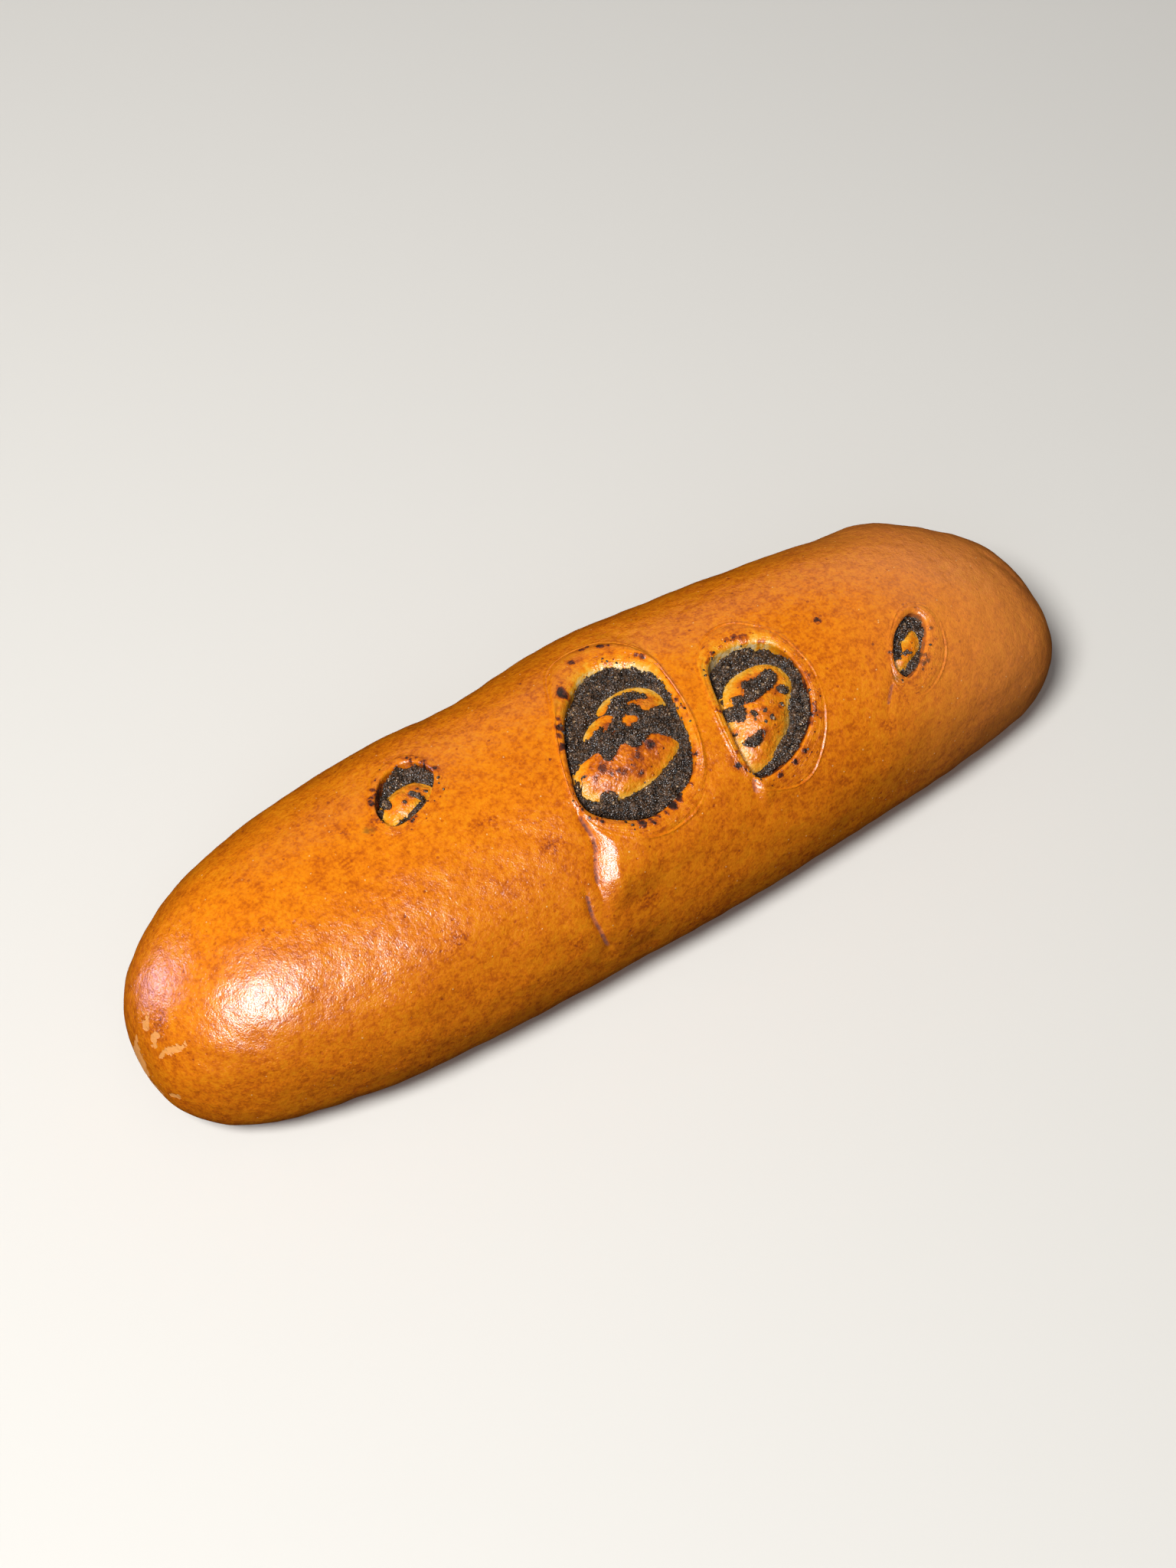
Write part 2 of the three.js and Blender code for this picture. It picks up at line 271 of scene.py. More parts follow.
def distance_to_spots(points, spots):
    """Millimetres to the rim of the nearest round spot, given as (x, s, radius)."""
    result = np.full(len(points), FAR_AWAY)
    for x, s, radius in spots:
        result = np.minimum(result, np.hypot(points[:, 0] - x, points[:, 1] - s) - radius)
    return result


def lumps(points, size, seed, waves=40):
    """A smooth random field of about -1 to 1, with lumps of roughly the given size in mm."""
    draw = np.random.default_rng(seed)
    direction = draw.normal(size=(waves, points.shape[-1]))
    direction /= np.linalg.norm(direction, axis=1, keepdims=True)
    pitch = math.pi / size * draw.uniform(0.6, 1.5, waves)
    phase = draw.uniform(0, 2 * math.pi, waves)
    return np.sin(points @ (direction * pitch[:, None]).T + phase).sum(-1) / math.sqrt(waves)


def flat_lumps(places, size, seed):
    """The same field over [x, s] places."""
    return lumps(np.c_[places, np.zeros(len(places))], size, seed)


print("a smooth line through 3 places: %d points" % len(smooth_line([[0, 0], [1, 0], [0, 1]])))

# %% [markdown]
# ## Folds, seams and dents
#
# Under the second split the roll has slipped over itself while it baked. A sharp valley runs down
# the near side, and the dough to its right stands up beside it and catches the light. A profile
# across each fold's line does this: a narrow valley, then a rise that dies away slowly. It is
# made in the mesh, since a bump in the material would leave the outline and the shadow flat.

# %% The crust's relief
# valley: its depth, and how far it reaches on the left and on the right. rise: how much higher the
# right side stands, how soon it gets there, how far it takes to die away, and its share at the
# top of the fold. ends: how quickly the fold starts at its top and dies out at its foot.
FOLDS = [
    {"path": [[-16, 15.5], [-17.4, 18], [-17.8, 20.5], [-17.6, 23], [-17.4, 25.4], [-17.7, 28],
              [-18.8, 30.5], [-20, 33], [-20.8, 36], [-21.1, 40], [-21.3, 47]],
     "valley": (1.0, 1.4, 0.6), "rise": (2.3, 5.8, 18, 0.22), "ends": (7, 2.8)},
    {"path": [[-24.2, 34], [-24.8, 37.5], [-25, 40], [-25.2, 43], [-25, 45.8], [-24.4, 48.7],
              [-23.8, 53], [-22.4, 58.3], [-21, 64]],
     "valley": (0.6, 0.8, 0.5), "rise": (0.45, 5, 9, 1), "ends": (7, 3.2)},
    {"path": [[12, -37], [17.6, -28.5], [20.8, -21], [22, -13], [22.6, -3], [22, 5]],
     "valley": (0.3, 1.2, 1.0), "rise": (-0.1, 1.6, 5, 1), "ends": (4, 1.8)},
    {"path": [[27.4, 30.5], [26.4, 33.5], [26.2, 36.5], [26.6, 41]],
     "valley": (0.5, 0.9, 0.5), "rise": (0.9, 2.2, 3, 1), "ends": (6, 1.8)},
    {"path": [[73.4, 23.4], [71.6, 26.5], [68.6, 31], [66.2, 37.5]],
     "valley": (0.3, 0.7, 0.7), "rise": (0.05, 2, 4, 1), "ends": (6, 1.8)},
]
# welt: the height and half width of a narrow welt, or of a nick where the height is negative.
WELTS = [
    {"path": [[-119, -5], [-111, 1], [-104, 4], [-100, 5]], "welt": (0.12, 0.8)},
    {"path": [[98, 17.5], [99, 22], [97.5, 27]], "welt": (-0.18, 0.8)},
    {"path": [[92, 20.5], [96.5, 21.8], [98, 25]], "welt": (-0.15, 0.8)},
    {"path": [[121, -9], [125, -2], [127.2, 4], [128, 9]], "welt": (-0.35, 1.8)},
    {"path": [[-37, -30], [-33, -36.5], [-31, -44]], "welt": (-0.5, 2.2)},
]
CRUST_LUMPS = [(0.22, 16, 3), (0.09, 6, 4), (0.035, 2.4, 5)]   # height, size, seed
FOLD_REACH = 40                # mm round a fold that it can move
RISE_FROM, RISE_OVER = 0.22, 0.32    # where down a fold its rise starts to grow, and over how much
BASE_FADE = 5                  # mm over the base in which the relief fades out


def fold_strength(t, ends):
    """0 at both ends of a fold, 1 along its middle."""
    return ease(t * ends[0]) * ease((1 - t) * ends[1])


def relief(x, s, points):
    """How far the real crust stands over the plain roll, in mm."""
    spots = np.stack([x, s], -1)
    height = sum(high * lumps(points, size, seed) for high, size, seed in CRUST_LUMPS)
    for fold in FOLDS:
        line = smooth_line(fold["path"], closed=False)
        near = ((spots > line.min(0) - FOLD_REACH) & (spots < line.max(0) + FOLD_REACH)).all(1)
        t, off = along_and_aside(spots[near], line)
        deep, left, narrow = fold["valley"]
        proud, aside_by, wide, at_top = fold["rise"]
        share = at_top + (1 - at_top) * ease((t - RISE_FROM) / RISE_OVER)
        flank = aside_by * share
        rise = share * ease(off / flank) * np.exp(-(np.maximum(off - flank, 0) / wide) ** 2)
        valley = np.exp(-np.abs(off) / np.where(off < 0, left, narrow))
        height[near] += fold_strength(t, fold["ends"]) * (proud * rise - deep * valley)
    for welt in WELTS:
        line = smooth_line(welt["path"], closed=False)
        t, off = along_and_aside(spots, line)
        proud, wide = welt["welt"]
        height += proud * ease(t * 4) * ease((1 - t) * 4) * np.exp(-(off / wide) ** 2)
    return height * ease(points[..., 2] / BASE_FADE)


print("relief: %d folds, %d welts" % (len(FOLDS), len(WELTS)))

# %% [markdown]
# ## Closed skins
#
# Each layer of the strudel becomes one closed skin, with an outside, an inside and walls in its
# openings. Boolean cuts on a mesh this fine would leave ragged slivers round the openings. So the
# skins are assembled instead: a grid covers the plain parts, rings of points follow each opening,
# and a triangulation joins the two. `Skin` gathers these parts and welds them.

# %% Gather and weld a skin
class Skin:
    """Collects points, faces and marks, and welds them into one closed mesh."""

    def __init__(self):
        self.points, self.faces, self.marks, self.count = [], [], [], 0

    def add(self, points, faces, marks=None):
        points = np.asarray(points).reshape(-1, 3)
        self.points.append(points)
        self.marks.append(marks or {})
        self.faces += (np.asarray(faces) + self.count).tolist()
        self.count += len(points)

    def weld(self, name):
        mesh = bpy.data.meshes.new(name)
        mesh.from_pydata((np.vstack(self.points) * MM).tolist(), [], self.faces)
        for mark in sorted({mark for part in self.marks for mark in part}):
            parts = [part.get(mark, np.full(len(points), FAR_AWAY))
                     for part, points in zip(self.marks, self.points)]
            values = mesh.attributes.new(mark, "FLOAT", "POINT").data
            values.foreach_set("value", np.concatenate(parts).astype(np.float32))
        work = bmesh.new()
        work.from_mesh(mesh)
        bmesh.ops.remove_doubles(work, verts=work.verts, dist=0.002 * MM)
        bmesh.ops.delete(work, geom=[v for v in work.verts if not v.link_faces], context="VERTS")
        bmesh.ops.recalc_face_normals(work, faces=work.faces)
        open_edges = sum(1 for edge in work.edges if not edge.is_manifold)
        for face in work.faces:
            face.smooth = True
        work.to_mesh(mesh)
        work.free()
        triangles = sum(len(face.vertices) - 2 for face in mesh.polygons)
        print("%s: %d triangles, %d open edges" % (name, triangles, open_edges))
        piece = bpy.data.objects.new(name, mesh)
        bpy.context.scene.collection.objects.link(piece)
        return piece


def strip(rows, columns):
    """Faces between rows of points, where each row closes on itself."""
    i, j = np.meshgrid(np.arange(rows - 1), np.arange(columns), indexing="ij")
    k = (j + 1) % columns
    corners = [i * columns + j, i * columns + k, (i + 1) * columns + k, (i + 1) * columns + j]
    return np.stack([c.ravel() for c in corners], -1)

# %% [markdown]
# The plain parts use a grid of stations along the roll and angles round it. It is denser where a
# fold needs it and looser on the base and the back, which keeps the mesh light. At the tips the
# stations crowd together, because there the skin turns to face along the roll.

# %% The grid and its openings
CRUST, FILLING, GAP = 4.2, 4.5, 0.3
END_CRUST = 9                  # the ends are folded shut, so the crust is thicker there
MIDDLE = np.array([0, 0, HEIGHT / 2])
FLAT = 35.0                    # mm per radian, to lay the angles out flat beside x
TIPS = np.array([-LENGTH / 2, LENGTH / 2])


def spread_out(low, high, spacing):
    """Values from low to high whose steps follow a wanted spacing."""
    fine = np.linspace(low, high, 4000)
    step = fine[1] - fine[0]
    total = np.concatenate([[0], np.cumsum(1 / spacing(fine[:-1] + step / 2))])
    return np.interp(np.linspace(0, total[-1], int(total[-1] * step) + 1), total, fine)


# How far the skin goes along the roll for each millimetre of x.
TABLE_STEP = TABLE_X[1] - TABLE_X[0]
stretch = np.linalg.norm(np.diff(sections[:, ::120], axis=0), axis=2).max(1) / TABLE_STEP


def stations(spacing):
    """Places along the roll, an even walk apart."""
    return spread_out(-LENGTH / 2 + 0.02, LENGTH / 2 - 0.02, lambda x: spacing(x) / np.minimum(
        np.interp(x, TABLE_X[:-1] + TABLE_STEP / 2, stretch), 9))


def columns(spacing):
    """Angles round the roll, an even walk apart."""
    reach = walked[len(TABLE_X) // 2]
    walk = spread_out(reach[0], reach[-1], spacing)[:-1]
    return np.interp(walk, reach, TABLE_ANGLE)


def shrunk(points, depth, end_depth):
    """Points of the roll made smaller by a depth at its sides, top and base, and at its ends."""
    by = [1 - end_depth / (LENGTH / 2), 1 - depth / HALF_WIDTH, 1 - 2 * depth / HEIGHT]
    return MIDDLE + (points - MIDDLE) * by


def grid_faces(open_cells):
    """The faces of a grid that closes round the roll, without its open cells, and its two caps."""
    rows, cols = open_cells.shape[0] + 1, open_cells.shape[1]
    faces = strip(rows, cols)[~open_cells.ravel()]
    ring = np.arange(cols)
    following = (ring + 1) % cols
    first = np.stack([following, ring, np.full(cols, rows * cols)], -1)
    last = np.stack([ring, following, np.full(cols, rows * cols + 1)], -1)
    last[:, :2] += (rows - 1) * cols
    return faces, np.vstack([first, last])


def open_grid(x, angle, loops, margin):
    """Which grid cells lie inside or close to the loops, given as [x, s] outlines."""
    flat = np.stack([np.repeat(x, len(angle)), np.tile(angle, len(x))], -1)
    places = np.stack([flat[:, 0], walk_of(flat[:, 0], flat[:, 1])], -1)
    near = np.zeros(len(flat), bool)
    for loop in loops:
        near |= distance_to(places, loop) < margin
    near = near.reshape(len(x), len(angle))
    near = near | np.roll(near, -1, 1)
    return near[:-1] | near[1:]


def bridge(x, angle, open_cells, loops):
    """Triangles between the edge of the open cells and the loops inside them.

    The corners come back as [x, angle] pairs, with the loops' points first and in their order.
    """
    corners = [np.stack([loop[:, 0], angle_of(loop[:, 0], loop[:, 1]) * FLAT], -1) for loop in loops]
    edges, count = [], 0
    for loop in loops:
        ring = np.arange(len(loop))
        edges += (np.stack([ring, (ring + 1) % len(loop)], -1) + count).tolist()
        count += len(loop)
    index, extra = {}, []

    def corner(i, j):
        if (i, j) not in index:
            index[i, j] = count + len(extra)
            extra.append((x[i], angle[j] * FLAT))
        return index[i, j]

    for i, j in np.argwhere(open_cells):
        sides = [((i, j), (i, j + 1), (i - 1, j)), ((i + 1, j), (i + 1, j + 1), (i + 1, j)),
                 ((i, j), (i + 1, j), (i, j - 1)), ((i, j + 1), (i + 1, j + 1), (i, j + 1))]
        for start, end, beyond in sides:
            if not open_cells[beyond]:
                edges.append([corner(*start), corner(*end)])
    points = np.vstack([*corners, extra])
    found = delaunay_2d_cdt([Vector(p) for p in points.tolist()], edges, [], 0, 1e-7)
    if len(found[0]) != len(points):
        print("bridge: %d points became %d" % (len(points), len(found[0])))
    made = np.array([v[:] for v in found[0]])
    faces = np.array([face for face in found[2] if len(face) == 3])
    middle = made[faces].mean(1)
    i = np.searchsorted(x, middle[:, 0]) - 1
    j = np.searchsorted(angle, middle[:, 1] / FLAT) - 1
    keep = open_cells[np.clip(i, 0, len(x) - 2), np.clip(j, 0, len(angle) - 1)]
    for flat_loop in corners:
        keep &= distance_to(middle, flat_loop) > 0
    return np.stack([made[:, 0], made[:, 1] / FLAT], -1), faces[keep]


def grid_skin(skin, x, angle, loops, margin, shape, tips, marks):
    """Adds a grid round the roll to a skin, with two caps, joined to the loops in its openings."""
    open_cells = open_grid(x, angle, loops, margin)
    cell_faces, cap_faces = grid_faces(open_cells)
    at = np.repeat(x, len(angle)), np.tile(angle, len(x))
    points = np.vstack([shape(*at), tips])
    noted = marks(np.append(at[0], TIPS), np.append(walk_of(*at), [0, 0]))
    skin.add(points, cell_faces, noted)
    skin.add(points, cap_faces, noted)
    corners, faces = bridge(x, angle, open_cells, loops)
    skin.add(shape(*corners.T), faces, marks(corners[:, 0], walk_of(*corners.T)))
    print("grid: %d x %d, with %d faces to the openings" % (len(x), len(angle), len(faces)))


def sunk_ring(ring, depth, end_depth):
    """A ring of places moved in to a layer: as [x, s] of the full roll, and as points."""
    full = np.stack([ring[:, 0] / (1 - end_depth / (LENGTH / 2)), ring[:, 1]], -1)
    return full, shrunk(roll_point(full[:, 0], angle_of(*full.T)), depth, end_depth)


print("the skin at the tips is up to %.1f times as long as x" % stretch.max())

# %% [markdown]
# ## The four splits
#
# Each split is described by what a baker would see: the torn edge, the thin raised line where the
# dough round it began to stretch, and the mound of inner dough that pushed up through it. The far
# right side of each tear rolled back and shows its pale inside, while the near left side curls
# over the hole and hides it.

# %% Describe the splits
# Outlines are closed rows of [x, s]. edge: the torn edge. collar: the raised line round it.
# mound: the foot of the dough that pushed up. bare: where that dough shows. smears, crumbs: the
# filling left on it. char, toast: where it burnt or browned. level: the filling's depth. heap: how
# much it rises on the open side. lip: the rolled edge's radius on the open side, and opposite.
# open_side: which way the tear rolled back. bulge: how far the collar swells there. pale: how
# cream its inside is. line: how high the raised line is. crown: the depth of the mound's top.
# points: how many points go round.
SPLITS = [
    {"edge": [[-46, -17.8], [-42.2, -10], [-48.2, -2.8], [-57.6, -1], [-59.6, -7.5], [-54, -15.9]],
     "collar": [[-59.5, -13], [-55, -19], [-50, -21], [-44.5, -20.5], [-41, -15.5], [-39.8, -9.5],
        [-40.5, -2], [-43, 1], [-49, 2.5], [-55, 2.5], [-60.5, 1], [-62.5, -5]],
     "mound": [[-59.6, -7.6], [-55.4, -11.8], [-50, -13.2], [-45.2, -11.8], [-43, -6.6], [-48, -3],
        [-58.4, -2]],
     "bare": [[[-55, -9.8], [-52.8, -11.6], [-49.6, -12.2], [-46, -10.4], [-43.8, -5.9],
        [-45.8, -4.3], [-49, -4.4], [-53.2, -3.4], [-58.2, -2.9], [-58.8, -5.1], [-58.2, -7.2],
        [-56, -7.4]]],
     "smears": [[[-50.5, -7.6], [-48.9, -7.6], [-47.9, -6], [-47.3, -4.4], [-48.3, -4.2],
        [-49.1, -5.5]]],
     "crumbs": [(-47.7, -8.4, 0.4), (-46.1, -6.8, 0.55), (-52.3, -6.2, 0.55), (-56.2, -8, 1.1)],
     "char": [(-50.3, -7.2, 1.2), (-52.3, -6.2, 0.9), (-57.4, -4.2, 0.4), (-47.4, -8.4, 0.7),
        (-56.6, -8.6, 0.9), (-46.4, -6.9, 0.6), (-51.2, -11.8, 0.5)],
     "level": 1.7, "heap": 0.45, "lip": (0.8, 0.5), "open_side": (0.3, -0.95), "bulge": 0.15,
     "pale": 0.35, "line": 0.04, "crown": 0.6, "points": 110},
    {"edge": [[5.5, -15.4], [14.8, -11.4], [19.2, -3.6], [18.2, 8.5], [14.2, 22.4], [4.8, 27.6],
        [-4.5, 27.6], [-15.2, 19.6], [-13.4, 7.5], [-5.6, -7]],
     "collar": [[-6, -18], [-0.5, -26.5], [5.5, -31], [11, -31], [15.5, -27], [20, -21.5],
        [22, -10], [21.5, -3.5], [21, 9.5], [19, 17], [16.5, 25.5], [13.5, 29.5], [10, 32],
        [4.5, 33.5], [-2, 33], [-8, 30.5], [-13, 26.5], [-17, 21], [-15.5, 8], [-11.5, -2],
        [-8.8, -8.5]],
     "mound": [[-8.5, 3], [2, -5], [10.5, -7], [17.2, -3], [18.2, 4], [16, 14], [9, 19.4],
        [-2, 21.8], [-10.5, 20], [-14.4, 14.6], [-12.6, 8.5]],
     "bare": [[[0.8, -2.9], [4.3, -5.6], [7.5, -6.3], [10.5, -6.4], [14, -5.4], [16.8, -2.6],
        [18, 1.5], [17.2, 3.8], [13.5, 3.2], [11.8, 3.8], [10.8, 2.6], [11, 1], [8.4, -0.6],
        [9.6, -1.2], [13.7, 0.1], [14.7, -0.9], [13.4, -2.5], [11.2, -3.8], [6.9, -4.4],
        [2.6, -1.6]],
        [[-6, 2], [-3.6, -0.2], [-0.6, -1.6], [2.2, -1], [3.6, 0.9], [1.6, 1.8], [-1.4, 1.8],
        [-4.2, 2.7]],
        [[5, 2.6], [6.9, 2.8], [8.5, 4.1], [7.9, 5.3], [5.5, 4.9], [4.3, 4.3]],
        [[-11, 8.5], [-8.6, 7.6], [-5.2, 7.8], [-5, 10.2], [-3.6, 11.2], [-1.2, 10.1], [1.2, 8.9],
        [3.4, 11.2], [6, 11.2], [7.8, 9.9], [10.2, 10.3], [12.6, 12.3], [14.6, 14.9], [13, 16.9],
        [8.8, 18.8], [5.2, 20.3], [1.2, 21], [-4, 21], [-8.2, 20.5], [-11.4, 18.6], [-13.8, 15.4],
        [-12.2, 12.3], [-11.8, 10.2]]],
     "smears": [[[-10.4, 18], [-8.6, 17], [-6.4, 18], [-5.6, 20], [-7, 22.4], [-11, 22]]],
     "crumbs": [(-9.1, 13.1, 0.5), (-11.1, 11.2, 0.6), (1.7, 20, 0.3)],
     "char": [(-6.5, 12, 1.5), (-5.2, 13.5, 1.1), (-2.1, 15.3, 1.2), (1.7, 17.5, 1.1),
        (4.5, 18.9, 0.9), (-9.1, 13.3, 0.7), (-11.1, 11.2, 0.8), (3.2, 13.2, 1.2), (7.4, 12.2, 1.6),
        (15.5, 0.4, 0.9), (12, 0.8, 0.6)],
     "toast": [[-8.6, 9.8], [-6.5, 8.3], [-4.4, 10.6], [0.1, 9], [5.7, 11], [10.7, 11.2],
        [13.2, 14], [12.2, 16.6], [8.5, 18.2], [5.5, 19], [1.3, 18.6], [-2.3, 17], [-5.3, 15],
        [-8, 13.4]],
     "level": 1.6, "heap": 0.45, "lip": (3.4, 0.7), "open_side": (0.4, -0.92), "bulge": 0.8,
     "pale": 1.0, "line": 0.2, "crown": -0.4, "points": 230},
    {"edge": [[32.4, 0.2], [41.4, -1.3], [49.6, 3.2], [51.6, 13], [48.6, 23.5], [40.4, 31],
        [29.4, 33], [26.8, 25.5], [28.4, 11.5]],
     "collar": [[33.5, -7], [30.2, -3], [28, 2], [26.4, 8], [25.4, 14], [24.8, 20], [24.6, 27],
        [26.5, 33.5], [30, 37], [34.5, 39.5], [41.5, 39.5], [45.5, 35.5], [49.5, 30.5], [53, 23],
        [54.3, 17.5], [54.8, 12], [54, 7], [53, 1.5], [49.5, -4], [46, -8], [40, -10], [36, -8.5]],
     "mound": [[31, 8], [38, 4.6], [46, 5.8], [49.6, 11.5], [45.6, 19.4], [40.6, 26.6], [31.6, 32],
        [27, 29.6], [28, 15.5]],
     "bare": [[[32, 7.7], [34.8, 5.7], [39.4, 4.9], [43.8, 5.3], [47.2, 7.1], [48.6, 9.2],
        [49, 14.2], [46, 17.5], [44.2, 20.1], [43.4, 23.6], [41.2, 25.4], [37.4, 27.6],
        [33.8, 29.8], [30.8, 31.3], [28.4, 31.3], [27.2, 28.5], [27.4, 20.4], [28.4, 16],
        [29.6, 12]]],
     "smears": [[[31.6, 10.8], [33.2, 10.9], [35, 11.2], [37, 8.3], [40.4, 8.9], [42.8, 8.1],
        [45, 8.2], [46, 9.7], [45.4, 11.7], [43, 12.9], [38.2, 14.2], [34.4, 14.2], [32, 13.2]],
        [[43.8, 13.8], [45.4, 13.4], [46.6, 14.7], [45.8, 16.3], [44, 15.2]],
        [[29, 12.8], [32.2, 13.2], [33.4, 15.3], [32.2, 17.3], [30.6, 17.5], [28.6, 16.3]],
        [[29, 22.5], [32.6, 21.9], [34.6, 21.5], [35, 23.1], [33.4, 24.7], [31, 24.9],
        [29.2, 23.8]]],
     "crumbs": [(42.6, 18.4, 0.9), (34.6, 17.3, 1.0), (36.4, 20.4, 0.5), (38.4, 20.1, 0.6),
        (37.6, 17.9, 0.5), (28.6, 19.7, 0.7), (36, 13.2, 0.5), (34.3, 18.8, 0.4)],
     "char": [(37.5, 9, 1.3), (46, 7.4, 1.3), (47.5, 8.4, 0.9), (42.5, 15, 1.0), (28.9, 19.2, 1.4),
        (38.6, 20, 0.9), (40.7, 16.6, 0.8), (47.6, 12.5, 0.8), (39.8, 6.8, 0.4), (42.2, 5.8, 0.7),
        (44.8, 6.4, 0.7), (36.4, 8.9, 0.6), (28.6, 20.6, 0.7), (37.6, 17.2, 0.4),
        (45.2, 14.3, 0.7)],
     "level": 2.1, "heap": -0.9, "lip": (1.7, 0.6), "open_side": (-0.25, -0.97), "bulge": 0.3,
     "pale": 1.0, "line": 0.2, "crown": -0.2, "points": 190},
    {"edge": [[86.6, 10.2], [89.4, 13.4], [85.6, 20], [78.2, 25.9], [75.2, 22], [79.2, 14.4]],
     "collar": [[76, 17.5], [79.5, 12], [84, 8.5], [90, 7.8], [93, 11.5], [93, 16], [91.5, 21.5],
        [89, 25.5], [86, 28.5], [81, 31.5], [75.5, 32.5], [71.5, 31.5], [71, 28], [72.5, 24]],
     "mound": [[86.4, 13.4], [87.4, 17.4], [82.4, 22.8], [76.4, 24.6], [74.8, 21.2], [79.4, 15.6]],
     "bare": [[[76.4, 20.6], [78.9, 19.8], [80.7, 16.9], [82.5, 15.9], [84.3, 14.4], [86.3, 14.6],
        [86.2, 17.3], [84.9, 19.4], [82.8, 21], [80.5, 21.8], [78.3, 23], [76.7, 23.4],
        [75.7, 22.1]]],
     "smears": [[[79, 19.4], [80.6, 19], [80.8, 19.8], [79.4, 20.4]]],
     "crumbs": [(83.4, 17.6, 0.3), (81.6, 20.2, 0.35)],
     "char": [(82.2, 19.2, 0.8), (80, 20.6, 0.5)],
     "level": 2.2, "heap": 0.45, "lip": (0.9, 0.6), "open_side": (0.9, -0.44), "bulge": 0.25,
     "pale": 0.12, "line": 0.17, "crown": 1.0, "points": 110},
]
LIP_PROUD = 0.15


def even_loop(outline, count):
    """Points an even walk apart along a closed outline, and the outward direction at each."""
    closed = np.vstack([outline, outline[:1]])
    passed = np.concatenate([[0], np.cumsum(np.linalg.norm(np.diff(closed, axis=0), axis=1))])
    at = np.linspace(0, passed[-1], count, endpoint=False)
    loop = np.stack([np.interp(at, passed, closed[:, k]) for k in (0, 1)], -1)
    run = np.roll(loop, -2, 0) - np.roll(loop, 2, 0)
    area = (loop[:, 0] * np.roll(loop[:, 1], -1) - loop[:, 1] * np.roll(loop[:, 0], -1)).sum()
    out = np.stack([run[:, 1], -run[:, 0]], -1) * np.sign(area)
    return loop, out / np.linalg.norm(out, axis=1, keepdims=True)


def softened(values, reach):
    """A closed row of values, averaged with its neighbours."""
    return np.mean([np.roll(values, k, 0) for k in range(-reach, reach + 1)], 0)


for split in SPLITS:
    edge = smooth_line(split["edge"])
    loop, out = even_loop(edge, split["points"])
    out = softened(out, 3)
    out /= np.linalg.norm(out, axis=1, keepdims=True)
    collar = smooth_line(split["collar"])
    width = np.linalg.norm(loop[:, None] - collar, axis=-1).min(1)
    split["loop"], split["out"] = loop, out
    split["width"] = softened(np.clip(width, 1.6, 11), split["points"] // 30)
    split["openness"] = np.clip((1 + out @ np.array(split["open_side"])) / 2, 0, 1)
    split["middle"] = loop.mean(0)
    print("split at x %.0f: %.0f x %.0f mm" % (split["middle"][0], *np.ptp(loop, axis=0)))

# %% [markdown]
# ## The crust
#
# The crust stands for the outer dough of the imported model. Rings of points run round each split
# at measured distances from the torn edge: over the stretched collar, up to a thin raised line,
# across the rolled lip, and down the wall to the filling. A radius that grows on the open side
# gives the fat pale roll at the back of each hole and the thin overhanging edge at the front.

# %% Rings round a split
# The rings near the raised line, in mm outside it; the inner ones are squeezed on a narrow collar.
OUTSIDE = [2.3, 1.8, 1.35, 1.0, 0.72, 0.5, 0.3, 0.14, 0, -0.14, -0.3, -0.5, -0.75, -1.05]
LIP_RINGS, WALL_RINGS, COLLAR_RINGS = 9, 5, 8
LINE_WIDTH = 0.28              # half width of the raised line
DITCH_IN, DITCH_SHARE = 0.45, 0.7    # how far inside the line its ditch is, and how deep beside it


def collar_rings(split):
    """Rings of [offset from the edge, depth], from outside the collar down to the filling."""
    width, openness = split["width"], split["openness"]
    far_lip, near_lip = split["lip"]
    radius = np.minimum(near_lip + (far_lip - near_lip) * openness ** 1.5, width * 0.8)
    squeeze = np.clip(width / 4, 0.35, 1)
    offsets = [width + max(step, 0) + min(step, 0) * squeeze for step in OUTSIDE]
    inmost = offsets[-1]
    for k in range(1, COLLAR_RINGS):
        t = k / COLLAR_RINGS
        offsets.append(inmost * (1 - t) + radius * t)
    line_proud = split["line"] * np.clip(0.75 + 0.5 * flat_lumps(split["loop"], 9, seed=31), 0.25, 1)
    depths = []
    for ring in offsets:
        t = np.clip((width - ring) / np.maximum(width - radius, 0.3), 0, 1)
        line = line_proud * np.exp(-((ring - width) / LINE_WIDTH) ** 2)
        ditch = np.exp(-((ring - width + DITCH_IN) / LINE_WIDTH) ** 2)
        line -= DITCH_SHARE * line_proud * ditch
        swelling = LIP_PROUD * ease(t) + split["bulge"] * np.sin(math.pi * t) * openness
        depths.append(-line - swelling)
    curl = math.pi / 2 + 0.5 * (1 - openness)
    for k in range(LIP_RINGS + 1):
        turn = curl * k / LIP_RINGS
        offsets.append(radius * (1 - np.sin(turn)))
        depths.append(radius * (1 - np.cos(turn)) - LIP_PROUD)
    foot = offsets[-1] + 0.5 - 1.1 * openness
    for k in range(1, WALL_RINGS + 1):
        t = k / WALL_RINGS
        offsets.append(offsets[-1] * (1 - t) + foot * t)
        depths.append(depths[-1] * (1 - t) + CRUST * t)
    return np.array(offsets), np.array(depths)


for split in SPLITS:
    split["offsets"], split["depths"] = collar_rings(split)
    split["rings"] = split["loop"] + split["out"] * split["offsets"][..., None]
    print("rings round the split at x %.0f: %d" % (split["middle"][0], len(split["rings"])))
